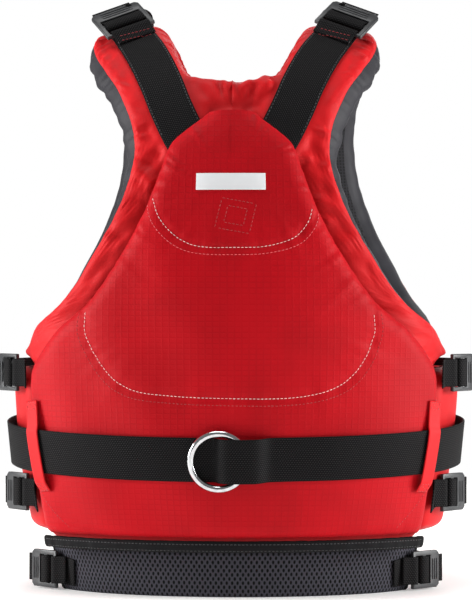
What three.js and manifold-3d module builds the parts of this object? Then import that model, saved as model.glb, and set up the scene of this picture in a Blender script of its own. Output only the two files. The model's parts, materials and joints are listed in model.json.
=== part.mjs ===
// Pullover rescue life jacket, standing on its hem. Millimetres, +Z up, the back of the vest faces +Y and
// the wearer's left is +X. Every soft layer is a slab between two surfaces that run parallel to the torso.
import * as THREE from 'three';
import { mergeVertices } from 'three/addons/utils/BufferGeometryUtils.js';
import Module from 'manifold-3d';

const wasm = await Module();
wasm.setup();

// Driving dimensions of the torso that the vest is cut for, by girth line g (mm up the surface).
const girth = [0, 50, 120, 200, 280, 350, 400, 440, 480, 524, 549];
const backDepth = [98, 104, 114, 121, 123, 117, 106, 92, 64, 24, 0];
const frontDepth = [98, 106, 118, 124, 124, 114, 100, 84, 56, 22, 0];
const height = [0, 50, 120, 200, 280, 350, 399, 438, 469, 490, 495];
const halfWidth = [156, 164, 176, 182, 182, 178, 173, 168, 162, 158, 156];
const shoulderDrop = [0, 0, 0, 0, 0, 0, 4, 12, 22, 30, 34];

// Layers, as distances out from the torso.
const layer = {
  liner: [0, 2],
  foamInner: [2.4, 14],
  foamOuter: [14.4, 26],
  shell: [26.4, 28.4],
  bodyFoam: [30.6, 36],
  bodyShell: [36.4, 38],
  sideFoam: [0.4, 21.6],
  sideShell: [22, 24],
  flap: [3, 14],
};
const sideWebbing = 25;
const shoulderWebbing = 38;
const beltWidth = 39;
const webbingThick = 1.4;
const beltThick = 1.8;
const ringOuter = 55;
const ringWire = 6.3;
const ringPlace = { x: 9, g: 128.5, off: 45.2 };
const beltMiddle = 129;
const beltRise = 0.06;
const rad = THREE.MathUtils.degToRad;

const colour = {
  red: 0xb30a12, ripstop: 0x9c0a10, black: 0x141416, mesh: 0x4a4a4f, foam: 0xd9d4c4,
  liner: 0x2a2a2d, plastic: 0x26272a, steel: 0xc8c8ca, ball: 0x1b1b1d, reflective: 0xd8dadc,
};
const finish = {
  fabric: { roughness: 0.85, metalness: 0 },
  plastic: { roughness: 0.5, metalness: 0 },
  metal: { roughness: 0.2, metalness: 1 },
};

const vest = new THREE.Group();

function addPart(name, geometry, tint, kind = finish.fabric) {
  const material = new THREE.MeshStandardMaterial({ color: tint, ...kind });
  const mesh = new THREE.Mesh(geometry, material);
  mesh.name = name;
  vest.add(mesh);
  return mesh;
}

// Smooth curve through values at knots, with the slope at a knot taken from its neighbours.
function smooth(knots, values) {
  const last = knots.length - 1;
  const slope = values.map((value, i) => {
    const a = Math.max(i - 1, 0);
    const b = Math.min(i + 1, last);
    return (values[b] - values[a]) / (knots[b] - knots[a]);
  });
  return (t) => {
    const x = Math.min(Math.max(t, knots[0]), knots[last]);
    let i = 0;
    while (i < last - 1 && x > knots[i + 1]) i += 1;
    const h = knots[i + 1] - knots[i];
    const s = (x - knots[i]) / h;
    const rise = s * s * (3 - 2 * s);
    const bends = s * (1 - s) * ((1 - s) * slope[i] - s * slope[i + 1]) * h;
    return values[i] + (values[i + 1] - values[i]) * rise + bends;
  };
}

const depthAtBack = smooth(girth, backDepth);
const depthAtFront = smooth(girth, frontDepth);
const heightAt = smooth(girth, height);
const halfWidthAt = smooth(girth, halfWidth);
const dropAt = smooth(girth, shoulderDrop);

// The torso: phi turns from the middle of the back (0) to the wearer's left side (90 degrees) and the
// middle of the front (180 degrees).
function torso(phi, g) {
  const c = Math.cos(phi);
  const depth = c >= 0 ? depthAtBack(g) : depthAtFront(g);
  return new THREE.Vector3(
    halfWidthAt(g) * Math.sin(phi),
    depth * c,
    heightAt(g) - dropAt(g) * (1 - Math.abs(c)),
  );
}

function outward(phi, g) {
  const turn = 1e-3;
  const climb = 0.5;
  const round = torso(phi + turn, g).sub(torso(phi - turn, g));
  const up = torso(phi, g + climb).sub(torso(phi, g - climb));
  return up.cross(round).normalize();
}

function skin(phi, g, off) {
  return torso(phi, g).addScaledVector(outward(phi, g), off);
}

// The panels get thinner where they reach round under the arms: full is 1.
const thinnest = 0.38;
const eased = (t) => {
  const s = Math.min(Math.max(t, 0), 1);
  return s * s * (3 - 2 * s);
};
const fromMiddle = (phi) => THREE.MathUtils.radToDeg(Math.acos(Math.abs(Math.cos(phi))));
const thinning = (phi, g) => 1 - (1 - thinnest) * eased((g - 192) / 34) * eased((fromMiddle(phi) - 46) / 36);
const panelSkin = (phi, g, off) => skin(phi, g, off * thinning(phi, g));

// Unit vector up the surface.
function upSkin(phi, g) {
  const step = 0.5;
  return torso(phi, g + step).sub(torso(phi, g - step)).normalize();
}

// Angle of a point on the back at a distance x from the middle.
const turnAt = (x, g) => Math.asin(x / halfWidthAt(g));

// Closed solid from triangles that are given as point triples.
class Solid {
  constructor() {
    this.points = [];
  }

  quad(a, b, c, d) {
    this.points.push(a, b, c, a, c, d);
  }

  volume() {
    let sum = 0;
    for (let i = 0; i < this.points.length; i += 3) {
      const [a, b, c] = this.points.slice(i, i + 3);
      sum += a.dot(b.clone().cross(c)) / 6;
    }
    return sum;
  }

  geometry() {
    const ordered = this.volume() < 0 ? this.points.slice().reverse() : this.points;
    const flat = ordered.flatMap((p) => [p.x, p.y, p.z]);
    const geometry = new THREE.BufferGeometry();
    geometry.setAttribute('position', new THREE.Float32BufferAttribute(flat, 3));
    geometry.computeVertexNormals();
    return geometry;
  }
}

const onMiddle = (phi) => Math.abs(Math.sin(phi)) < 1e-9;

// Slab over a grid of [phi, g] rows between two surfaces. With mirrored set, the grid is one half, and it
// is joined to its mirror image where its first column is on the middle of the vest.
function slab(rows, inner, outer, { mirrored = false, floor = -Infinity } = {}) {
  const solid = new Solid();
  const place = (surface, cell) => {
    const p = surface(cell[0], cell[1]);
    p.z = Math.max(p.z, floor);
    return p;
  };
  const sides = mirrored ? [1, -1] : [1];
  for (const side of sides) {
    const turned = rows.map((row) => row.map(([phi, g]) => [side * phi, g]));
    const low = turned.map((row) => row.map((cell) => place(inner, cell)));
    const high = turned.map((row) => row.map((cell) => place(outer, cell)));
    const face = (a, b, c, d) => (side > 0 ? solid.quad(b, c, d, a) : solid.quad(d, c, b, a));
    const lastRow = rows.length - 1;
    const lastCol = rows[0].length - 1;
    for (let v = 0; v < lastRow; v += 1) {
      for (let u = 0; u < lastCol; u += 1) {
        face(high[v][u], high[v + 1][u], high[v + 1][u + 1], high[v][u + 1]);
        face(low[v][u], low[v][u + 1], low[v + 1][u + 1], low[v + 1][u]);
      }
      const joined = mirrored && onMiddle(rows[v][0][0]) && onMiddle(rows[v + 1][0][0]);
      if (!joined) face(low[v][0], low[v + 1][0], high[v + 1][0], high[v][0]);
      face(high[v][lastCol], high[v + 1][lastCol], low[v + 1][lastCol], low[v][lastCol]);
    }
    for (let u = 0; u < lastCol; u += 1) {
      face(low[0][u], high[0][u], high[0][u + 1], low[0][u + 1]);
      face(low[lastRow][u + 1], high[lastRow][u + 1], high[lastRow][u], low[lastRow][u]);
    }
  }
  return solid.geometry();
}

const between = ([low, high], surface = skin) => [
  (phi, g) => surface(phi, g, low),
  (phi, g) => surface(phi, g, high),
];

// Rows of a half panel, ruled from its inner edge to its outer edge. Both edges are lists of [degrees, g]
// that pair up; front panels count degrees from the middle of the front.
function panelRows(innerEdge, outerEdge, { columns = 4, steps = 2, front = false } = {}) {
  const curve = (edge) => new THREE.SplineCurve(edge.map(([a, g]) => new THREE.Vector2(a, g)));
  const inner = curve(innerEdge);
  const outer = curve(outerEdge);
  const count = (innerEdge.length - 1) * steps;
  const rows = [];
  for (let v = 0; v <= count; v += 1) {
    const a = inner.getPoint(v / count);
    const b = outer.getPoint(v / count);
    if (a.x < 0.5) a.x = 0;
    const row = [];
    for (let u = 0; u <= columns; u += 1) {
      const p = a.clone().lerp(b, u / columns);
      row.push([front ? Math.PI - rad(p.x) : rad(p.x), p.y]);
    }
    rows.push(row);
  }
  return rows;
}

// Edges of the half panels, as [degrees from the middle, girth line].
const hemLine = 52;
const shoulderTop = 548.4;
const backInner = [
  [0, hemLine], [0, 130], [0, 205], [0, 250], [0, 285], [0, 330], [0, 380], [0, 418], [0, 443],
  [13, 451], [19, 480], [23, 510], [25.5, 532], [26.5, shoulderTop],
];
const backOuter = [
  [62, hemLine], [62.5, 128], [62, 203], [84, 217], [70, 235], [49, 262], [34.5, 320], [27.5, 372],
  [28, 410], [33.5, 440], [41, 466], [47.5, 492], [51, 520], [51, shoulderTop],
];
const bodyInner = [[0, 59], [0, 130], [0, 200], [0, 232], [0, 262], [0, 300], [0, 340], [0, 375], [0, 398],
  [0, 420]];
const bodyOuter = [[61, 59], [61, 130], [60.5, 200], [50, 235], [38, 262], [28.5, 302], [22.5, 338],
  [18.5, 372], [15.5, 397], [6.5, 420]];
const frontInner = [
  [0, hemLine], [0, 130], [0, 205], [0, 245], [0, 280], [0, 320], [0, 355], [0, 385], [0, 400],
  [14, 410], [20, 455], [24, 505], [26.5, shoulderTop],
];
const frontOuter = [
  [62, hemLine], [62.5, 128], [62, 203], [84, 217], [68, 243], [55, 268], [46, 305], [39.5, 345],
  [36, 385], [37, 430], [43, 470], [49, 510], [51, shoulderTop],
];
const backRows = panelRows(backInner, backOuter);
const bodyRows = panelRows(bodyInner, bodyOuter);
const frontRows = panelRows(frontInner, frontOuter, { front: true });
const yokeStart = 4;

function addPanel(name, rows, range, tint) {
  addPart(name, slab(rows, ...between(range, panelSkin), { mirrored: true }), tint);
}

addPanel('back_liner', backRows, layer.liner, colour.liner);
addPanel('back_foam_inner', backRows, layer.foamInner, colour.foam);
addPanel('back_foam_outer', backRows, layer.foamOuter, colour.foam);
addPanel('yoke_shell', backRows.slice(yokeStart), layer.shell, colour.red);
addPanel('back_body_foam', bodyRows, layer.bodyFoam, colour.foam);
addPanel('back_body_shell', bodyRows, layer.bodyShell, colour.ripstop);
addPanel('front_liner', frontRows, layer.liner, colour.liner);
addPanel('front_foam_inner', frontRows, layer.foamInner, colour.foam);
addPanel('front_foam_outer', frontRows, layer.foamOuter, colour.foam);
addPanel('front_shell', frontRows, layer.shell, colour.red);

// A full grid of rows between two angles, straight or leaning in to the top.
function bandRows(fromLow, toLow, fromHigh, toHigh, gLow, gHigh, columns, count = 1) {
  const rows = [];
  for (let v = 0; v <= count; v += 1) {
    const t = v / count;
    const a = fromLow + (fromHigh - fromLow) * t;
    const b = toLow + (toHigh - toLow) * t;
    const row = [];
    for (let u = 0; u <= columns; u += 1) {
      row.push([rad(a + (b - a) * u / columns), gLow + (gHigh - gLow) * t]);
    }
    rows.push(row);
  }
  return rows;
}

// Bands that the vest stands on: the lumbar flap at the back and the waistband at the front.
const bandTop = 45;
const bindingSpan = [46.5, 57];
const binding = bandRows(-61.5, 61.5, -61.5, 61.5, ...bindingSpan, 12);
const flapRows = bandRows(-69, 69, -73, 73, 0, bandTop, 12);
const waistRows = bandRows(118, 242, 113, 247, 0, bandTop, 12);
addPart('back_hem_binding', slab(binding, ...between([30.2, 37])), colour.black);
addPart('lumbar_flap', slab(flapRows, ...between(layer.flap), { floor: 0 }), colour.mesh);
addPart('front_waistband', slab(waistRows, ...between(layer.flap), { floor: 0 }), colour.mesh);

// Side pads, between the edges of the back and the front.
const sideLow = bandRows(63.5, 116.5, 63.5, 116.5, 56, 203, 6, 3);
for (const [side, word] of [[1, 'left'], [-1, 'right']]) {
  const rows = sideLow.map((row) => row.map(([phi, g]) => [side * phi, g]));
  addPart(`side_foam_${word}`, slab(rows, ...between(layer.sideFoam)), colour.foam);
  addPart(`side_shell_${word}`, slab(rows, ...between(layer.sideShell)), colour.red);
}

// Plain reflective strip at the top of the back body.
const stripRows = bandRows(-8.6, 8.6, -8.6, 8.6, 354, 367, 4);
addPart('reflective_strip', slab(stripRows, ...between([38.6, 39.4])), colour.reflective);

// Pocket: its back follows the front shell and its face is flat. The lash tab lies on the shell above it.
const pocket = { low: 222, high: 322, half: 22, face: 6.5 };
const shellOff = layer.shell[1];
const pocketFace = -(depthAtFront(270) + shellOff + pocket.face);
const pocketRows = bandRows(180 - pocket.half, 180 + pocket.half, 180 - pocket.half, 180 + pocket.half,
  pocket.low, pocket.high, 8, 4);
const pocketBack = (phi, g) => skin(phi, g, shellOff + 1);
const pocketFront = (phi, g) => pocketBack(phi, g).setY(pocketFace);
addPart('front_pocket', slab(pocketRows, pocketBack, pocketFront), colour.ripstop);
const tabRows = bandRows(172, 188, 172, 188, 348, 386, 4, 3);
addPart('lash_tab', slab(tabRows, ...between([29.6, 32])), colour.black);

// Flat webbing: a rectangle carried along stations that each have a place p, a direction across the
// webbing and a direction out of its face. folded sections may lie close together.
function webbing(stations, width, thick) {
  const solid = new Solid();
  const corners = stations.map(({ p, across, out }) => {
    const w = across.clone().multiplyScalar(width / 2);
    const h = out.clone().multiplyScalar(thick / 2);
    return [
      p.clone().sub(w).sub(h),
      p.clone().add(w).sub(h),
      p.clone().add(w).add(h),
      p.clone().sub(w).add(h),
    ];
  });
  for (let i = 0; i < corners.length - 1; i += 1) {
    const a = corners[i];
    const b = corners[i + 1];
    for (let k = 0; k < 4; k += 1) {
      const n = (k + 1) % 4;
      solid.quad(a[k], a[n], b[n], b[k]);
    }
  }
  const first = corners[0];
  const last = corners[corners.length - 1];
  solid.quad(first[3], first[2], first[1], first[0]);
  solid.quad(last[0], last[1], last[2], last[3]);
  return solid.geometry();
}

// Stations from a path in a plane: seat gives the plane's origin, its direction along, its direction out
// and the direction across the webbing; each point is [along, out].
function planeStations(seat, path) {
  return path.map(([s, h], i) => {
    const [s0, h0] = path[Math.max(i - 1, 0)];
    const [s1, h1] = path[Math.min(i + 1, path.length - 1)];
    const before = new THREE.Vector2(s - s0, h - h0).normalize();
    const after = new THREE.Vector2(s1 - s, h1 - h).normalize();
    const way = before.clone().add(after).normalize();
    const half = before.lengthSq() > 0 && after.lengthSq() > 0 ? Math.max(way.dot(after), 0.5) : 1;
    const out = seat.out.clone().multiplyScalar(way.x).addScaledVector(seat.along, -way.y);
    return {
      p: seat.p.clone().addScaledVector(seat.along, s).addScaledVector(seat.out, h),
      across: seat.across.clone(),
      out: out.multiplyScalar(1 / half),
    };
  });
}

// Booleans on three.js geometry, for the buckles and the zip.
function toManifold(geometry) {
  const bare = geometry.clone();
  bare.deleteAttribute('normal');
  bare.deleteAttribute('uv');
  const merged = mergeVertices(bare, 1e-4);
  const vertProperties = new Float32Array(merged.attributes.position.array);
  const triVerts = new Uint32Array(merged.index.array);
  return new wasm.Manifold(new wasm.Mesh({ numProp: 3, vertProperties, triVerts }));
}

function fromManifold(solid) {
  const mesh = solid.getMesh();
  const geometry = new THREE.BufferGeometry();
  geometry.setAttribute('position', new THREE.BufferAttribute(mesh.vertProperties, 3));
  geometry.setIndex(new THREE.BufferAttribute(mesh.triVerts, 1));
  geometry.computeVertexNormals();
  return geometry;
}

function join(first, ...others) {
  return fromManifold(others.reduce((sum, next) => sum.add(toManifold(next)), toManifold(first)));
}

function cut(first, ...holes) {
  return fromManifold(holes.reduce((rest, hole) => rest.subtract(toManifold(hole)), toManifold(first)));
}

const box = (x, y, z, at) => new THREE.BoxGeometry(x, y, z).translate(...at);

// Ladder lock: a frame with a sewn bar on its hinge line, a grip bar, an end bar and two slots. along
// is measured from the middle of the sewn bar; stretch scales it for wider webbing.
const lock = { thick: 3.6, barHalf: 1.8, slotOne: 10.3, gripEnd: 15.3, slotTwo: 20.8, end: 32 };

function lockGeometry(width, rail, stretch) {
  const inside = width / 2 + 0.5;
  const outside = inside + rail;
  const nose = outside - 3;
  const to = (s) => s * stretch;
  const plan = new THREE.Shape();
  plan.moveTo(-lock.barHalf, -outside);
  plan.lineTo(to(lock.end) - 3, -outside);
  plan.lineTo(to(lock.end), -nose);
  plan.lineTo(to(lock.end), nose);
  plan.lineTo(to(lock.end) - 3, outside);
  plan.lineTo(-lock.barHalf, outside);
  plan.closePath();
  const body = new THREE.ExtrudeGeometry(plan, { depth: lock.thick, bevelEnabled: false });
  body.translate(0, 0, -lock.thick / 2);
  const spans = [[lock.barHalf, to(lock.slotOne)], [to(lock.gripEnd), to(lock.slotTwo)]];
  const slots = spans.map(([a, b]) => box(b - a, 2 * inside, 2 * lock.thick, [(a + b) / 2, 0, 0]));
  return cut(body, ...slots);
}

function setSeat(mesh, seat) {
  const turn = new THREE.Matrix4().makeBasis(seat.along, seat.across, seat.out);
  mesh.quaternion.setFromRotationMatrix(turn);
  mesh.position.copy(seat.p);
}

// The loop that is sewn round the lock's first bar, from its free end.
const loopPath = [[-13, -1.5], [-5, 1.4], [-2.6, 2.7], [0, 3.5], [2.6, 2.5], [3.6, 0], [2.6, -2.6],
  [0, -3.7], [-5, -4]];

// The adjusting end: in under the lock, up through the first slot, over the grip bar, down the second.
function endPath(stretch, tail) {
  const inside = lock.slotOne * stretch - 3.4;
  const grip = lock.gripEnd * stretch;
  const far = lock.end * stretch;
  return [[far + 2, -5.4], [inside + 4, -5.4], [inside + 0.8, -4.2], [inside, -1], [inside + 0.9, 1.8],
    [inside + 3.2, 3.2], [grip, 3.2], [grip + 2.2, 2], [grip + 3, -0.6], [grip + 4.2, -2.8], [grip + 6, -3],
    [far + tail, -3]];
}

// Place on the torso's level section: a point off the surface, the way round towards the front, the way
// out and the way across, which is up or down.
function levelSeat(side, degrees, z, off) {
  const phi = side * rad(degrees);
  const p = torso(phi, z);
  const depth = Math.cos(phi) >= 0 ? depthAtBack(z) : depthAtFront(z);
  const out = new THREE.Vector3(p.x / halfWidthAt(z) ** 2, p.y / depth ** 2, 0).normalize();
  const along = new THREE.Vector3(side * out.y, -side * out.x, 0);
  p.addScaledVector(out, off).setZ(z);
  return { p, along, out, across: out.clone().cross(along) };
}

// The same place with its way along lifted off the surface.
function tilted({ p, along, out, across }, degrees) {
  const lift = rad(degrees);
  return {
    p,
    along: along.clone().multiplyScalar(Math.cos(lift)).addScaledVector(out, Math.sin(lift)),
    out: out.clone().multiplyScalar(Math.cos(lift)).addScaledVector(along, -Math.sin(lift)),
    across,
  };
}

// Side straps: a sewn loop at the back, a ladder lock, its adjusting end, and the strap round the front.
const restOff = 30.5;
const waistOff = 15.8;
const sideStraps = [
  { word: 'upper', z: 198, degrees: 71, off: 29.6, back: [63.5, 32], front: [[91, 29.5]], rest: restOff },
  { word: 'lower', z: 89, degrees: 71, off: 31.3, back: [63.5, 33.4], front: [[91, 29.5]], rest: restOff },
  { word: 'waist', z: 18.6, degrees: 66, off: 21.5, back: [57, 15.8], front: [[88, 14.6]], rest: waistOff },
];
const sideTilt = 10;
const sideRail = 4;
const sideTail = 9;

// Station on the surface for webbing that runs round the vest.
function roundStation(degrees, g, off, sign) {
  const phi = rad(degrees);
  return { p: skin(phi, g, off), across: upSkin(phi, g).multiplyScalar(sign), out: outward(phi, g) };
}

for (const strap of sideStraps) {
  const starts = [];
  for (const [side, hand] of [[1, 'left'], [-1, 'right']]) {
    const seat = tilted(levelSeat(side, strap.degrees, strap.z, strap.off), sideTilt);
    const name = `${strap.word}_${hand}`;
    const loop = planeStations(seat, loopPath);
    const backEnd = roundStation(side * strap.back[0], strap.z, strap.back[1], -side);
    backEnd.out.negate();
    loop.push(backEnd);
    addPart(`side_loop_${name}`, webbing(loop, sideWebbing, webbingThick), colour.black);
    const frame = lockGeometry(sideWebbing, sideRail, 1);
    setSeat(addPart(`side_lock_${name}`, frame, colour.plastic, finish.plastic), seat);
    const end = planeStations(seat, endPath(1, sideTail));
    addPart(`side_strap_end_${name}`, webbing(end, sideWebbing, webbingThick), colour.black);
    const start = planeStations(seat, [[lock.end + 2.5, -5.4], [lock.end + 6, -5.6]])[0];
    const turned = strap.front.map(([degrees, off]) => roundStation(side * degrees, strap.z, off, -side));
    starts.push([start, ...turned]);
  }
  const middle = [];
  for (let degrees = 100; degrees <= 260; degrees += 8) {
    middle.push(roundStation(degrees, strap.z, strap.rest, -1));
  }
  const flip = ({ p, across, out }) => ({ p, across: across.clone().negate(), out });
  const run = [...starts[0], ...middle, ...starts[1].reverse().map(flip)];
  addPart(`front_strap_${strap.word}`, webbing(run, sideWebbing, webbingThick), colour.black);
}

// Shoulders: webbing sewn down the yoke, a ladder lock at the top, and webbing down the front.
const shoulder = {
  top: { x: 88, g: 506 }, bottom: { x: 41, g: 409 }, off: 30.3, lockOff: 37, tilt: 16, stretch: 1.12,
  rail: 4.6, tail: 7,
};

// Front webbing from the crest of the shoulder down to where it is sewn on, as [x, g, off].
const frontPath = [
  [92, 541, 42], [91, 518, 36.5], [88, 495, 33.6], [85, 475, 32.4], [82, 455, 31.8], [78, 428, 31],
];
for (const [side, hand] of [[1, 'left'], [-1, 'right']]) {
  const along = (t, off) => {
    const g = shoulder.bottom.g + (shoulder.top.g - shoulder.bottom.g) * t;
    const x = shoulder.bottom.x + (shoulder.top.x - shoulder.bottom.x) * t;
    const phi = side * turnAt(x, g);
    return { p: skin(phi, g, off), out: outward(phi, g) };
  };
  const acrossAt = (t, out) => {
    const ahead = along(t + 0.03, 0).p.sub(along(t - 0.03, 0).p);
    return out.clone().cross(ahead).normalize();
  };
  const top = along(1, shoulder.lockOff);
  const across = acrossAt(1, top.out);
  const level = across.clone().cross(top.out).normalize();
  const seat = tilted({ p: top.p, along: level, out: top.out, across }, shoulder.tilt);
  const backRun = planeStations(seat, loopPath);
  for (const t of [0.86, 0.7, 0.52, 0.34, 0.17, 0]) {
    const { p, out } = along(t, shoulder.off);
    backRun.push({ p, across: acrossAt(t, out), out: out.negate() });
  }
  addPart(`shoulder_webbing_${hand}`, webbing(backRun, shoulderWebbing, webbingThick), colour.black);
  const body = lockGeometry(shoulderWebbing, shoulder.rail, shoulder.stretch);
  setSeat(addPart(`shoulder_lock_${hand}`, body, colour.plastic, finish.plastic), seat);
  const end = planeStations(seat, endPath(shoulder.stretch, shoulder.tail));
  addPart(`shoulder_strap_end_${hand}`, webbing(end, shoulderWebbing, webbingThick), colour.black);
  const reach = lock.end * shoulder.stretch;
  const frontRun = planeStations(seat, [[reach + 2.5, -5.4], [reach + 6, -5.6]]).slice(0, 1);
  const frontPhi = (x, g) => side * (Math.PI - turnAt(x, g));
  for (const [i, [x, g, off]] of frontPath.entries()) {
    const [x1, g1] = frontPath[Math.min(i + 1, frontPath.length - 1)];
    const [x0, g0] = frontPath[Math.max(i - 1, 0)];
    const ahead = torso(frontPhi(x1, g1), g1).sub(torso(frontPhi(x0, g0), g0));
    const out = outward(frontPhi(x, g), g);
    frontRun.push({ p: skin(frontPhi(x, g), g, off), across: out.clone().cross(ahead).normalize(), out });
  }
  addPart(`shoulder_strap_front_${hand}`, webbing(frontRun, shoulderWebbing, webbingThick), colour.black);
}

// Harness belt: it leaves the release buckle at the front, passes both sides and crosses the back, where
// it goes over one side of the ring and under the other. beltRise lifts it towards the front.
const beltOff = smooth([0, 56, 76, 90, 112, 180], [40.6, 40.6, 34.5, 31, 30.8, 30.8]);
const beltFront = beltMiddle + 2 * beltRise * depthAtBack(beltMiddle) + 4;
const beltHeight = (degrees) => {
  const back = depthAtBack(beltMiddle);
  return beltMiddle + (beltFront - beltMiddle) * (1 - torso(rad(degrees), beltMiddle).y / back) / 2;
};
const frontAtBelt = depthAtFront(beltFront + 25) + shellOff + 0.6;
const weave = [
  [-44, 0], [-33, 1.6], [-24, 8.4], [-17, 10.2], [-5, 10.4], [4, 9.8], [9, 7], [12, 3.2], [15, 0.5], [20, 0],
];
const weaveShrink = 0.86;
const beltAcross = new THREE.Vector3(0, 0, 1);

function beltStation(degrees, extra = 0) {
  return roundStation(degrees, beltHeight(degrees), beltOff(Math.abs(degrees)) + extra, 1);
}

// A front path point is [x, distance out from the front of the shell].
const frontStation = (x, e, outX, outE) => ({
  p: new THREE.Vector3(x, -(frontAtBelt + e), beltFront),
  out: new THREE.Vector3(outX, -outE, 0).normalize(),
  across: beltAcross,
});

const beltRun = [
  frontStation(-8, 10.3, 0, -1),
  frontStation(-14, 10.3, 0, -1),
  frontStation(-18.2, 9.6, -0.6, -0.8),
  frontStation(-20.2, 6, -1, 0),
  frontStation(-20.6, 3.6, -0.9, -0.4),
  frontStation(-23.5, 1.7, -0.3, -1),
  frontStation(-31, 1.5, 0, -1),
];
beltRun.forEach((station) => station.out.negate());
for (let degrees = 167; degrees > 18; degrees -= 7.45) beltRun.push(beltStation(-degrees));
for (const [x, extra] of weave) {
  const phi = turnAt(x * weaveShrink, beltMiddle);
  beltRun.push(beltStation(THREE.MathUtils.radToDeg(phi), extra));
}
for (let degrees = 11; degrees < 168; degrees += 7.8) beltRun.push(beltStation(degrees));
beltRun.push(
  frontStation(31, 1.5, 0, 1),
  frontStation(23.5, 1.7, 0.3, 1),
  frontStation(20.6, 3.6, 0.9, 0.4),
  frontStation(20.2, 6, 1, 0),
  frontStation(22, 9.6, 0.4, -0.9),
  frontStation(26, 10.3, 0, -1),
  frontStation(33, 9, 0.2, -1),
  frontStation(44, 6.5, 0.2, -1),
);

addPart('harness_belt', webbing(beltRun, beltWidth, beltThick), colour.black);

// Ring on the belt: a round wire, flat against the back.
const ringRadius = (ringOuter - ringWire) / 2;
const ringGeometry = new THREE.TorusGeometry(ringRadius, ringWire / 2, 8, 32);
const ringPhi = turnAt(ringPlace.x, ringPlace.g);
const ring = addPart('harness_ring', ringGeometry, colour.steel, finish.metal);
ring.position.copy(skin(ringPhi, ringPlace.g, ringPlace.off));
ring.quaternion.setFromUnitVectors(new THREE.Vector3(0, 0, 1), outward(ringPhi, ringPlace.g));

// Red loops that hold the belt at the back.
const loopAngle = { bottom: 55, top: 57.5 };
const loopShape = [[99, 39.2], [103, 41.4], [108, 43.4], [129, 43.8], [150, 43.4], [155, 41.6], [176, 39.2]];
const loopWidth = 21;
for (const [side, hand] of [[1, 'left'], [-1, 'right']]) {
  const across = levelSeat(side, loopAngle.top, beltMiddle, 0).along;
  const stations = loopShape.map(([g, off]) => {
    const t = (g - loopShape[0][0]) / 77;
    const phi = side * rad(loopAngle.bottom + (loopAngle.top - loopAngle.bottom) * t);
    return { p: skin(phi, g, off), out: outward(phi, g), across };
  });
  addPart(`belt_loop_${hand}`, webbing(stations, loopWidth, 1.6), colour.red);
}

// Release buckle: a slotted plate with two ears and a pin, a cam lever round the pin, and a pull ball.
// Its own frame has X across the vest, Y up and Z out of the front.
const buckle = {
  half: 30, high: 50, low: 3.4, thick: 4.6, slotInner: 18, slotOuter: 22.6, slotHigh: 42,
  earIn: 20.3, earThick: 4, pinX: 8, pinOut: 17, pinR: 1.6, boreR: 2.1, knuckleR: 4.2,
};
const buckleSeat = new THREE.Group();
buckleSeat.position.set(0, -frontAtBelt, beltFront);
buckleSeat.rotation.x = Math.PI / 2;
vest.add(buckleSeat);

const plateMiddle = buckle.low + buckle.thick / 2;
const slotPlace = (buckle.slotInner + buckle.slotOuter) / 2;
const slotWide = buckle.slotOuter - buckle.slotInner;
const plate = cut(
  box(2 * buckle.half, buckle.high, buckle.thick, [0, 0, plateMiddle]),
  box(slotWide, buckle.slotHigh, 2 * buckle.thick, [-slotPlace, 0, plateMiddle]),
  box(slotWide, buckle.slotHigh, 2 * buckle.thick, [slotPlace, 0, plateMiddle]),
);
const earTall = buckle.pinOut + 3.6 - buckle.low;
const ears = [-1, 1].map((side) => box(9, buckle.earThick, earTall,
  [buckle.pinX, side * (buckle.earIn + buckle.earThick / 2), buckle.low + earTall / 2]));
const pin = new THREE.CylinderGeometry(buckle.pinR, buckle.pinR, 2 * buckle.earIn + 2, 16);
pin.translate(buckle.pinX, 0, buckle.pinOut);
const buckleBody = addPart('release_buckle', join(plate, ...ears, pin), colour.plastic, finish.plastic);
buckleSeat.add(buckleBody);

const leverTip = -24;
const leverShape = new THREE.Shape();
leverShape.moveTo(buckle.pinX, buckle.pinOut - buckle.knuckleR);
leverShape.absarc(buckle.pinX, buckle.pinOut, buckle.knuckleR, -Math.PI / 2, Math.PI / 2, false);
leverShape.lineTo(leverTip + 3, buckle.pinOut + 2.6);
leverShape.lineTo(leverTip, buckle.pinOut);
leverShape.lineTo(leverTip, buckle.pinOut - 2);
leverShape.lineTo(buckle.pinX - 7, buckle.pinOut - 1.6);
leverShape.closePath();
const bore = new THREE.Path();
bore.absarc(buckle.pinX, buckle.pinOut, buckle.boreR, 0, 2 * Math.PI, true);
leverShape.holes.push(bore);
const leverHigh = 2 * (buckle.earIn - 0.5);
const leverCut = { depth: leverHigh, bevelEnabled: false, curveSegments: 8 };
const leverBody = new THREE.ExtrudeGeometry(leverShape, leverCut);
leverBody.rotateX(Math.PI / 2);
leverBody.translate(0, leverHigh / 2, 0);
const lever = addPart('release_lever', leverBody, colour.plastic, finish.plastic);
buckleSeat.add(lever);

const ball = { x: -15, r: 9, stemR: 1.8, stem: 10, gap: 1.2 };
const stemTop = -leverHigh / 2 - ball.gap;
const ballBody = new THREE.SphereGeometry(ball.r, 16, 10);
ballBody.translate(ball.x, stemTop - ball.stem - ball.r + 1, buckle.pinOut);
const stem = new THREE.CylinderGeometry(ball.stemR, ball.stemR, ball.stem + 2, 8);
stem.translate(ball.x, stemTop - (ball.stem + 2) / 2, buckle.pinOut);
buckleSeat.add(addPart('release_ball', join(ballBody, stem), colour.ball, finish.plastic));

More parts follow.
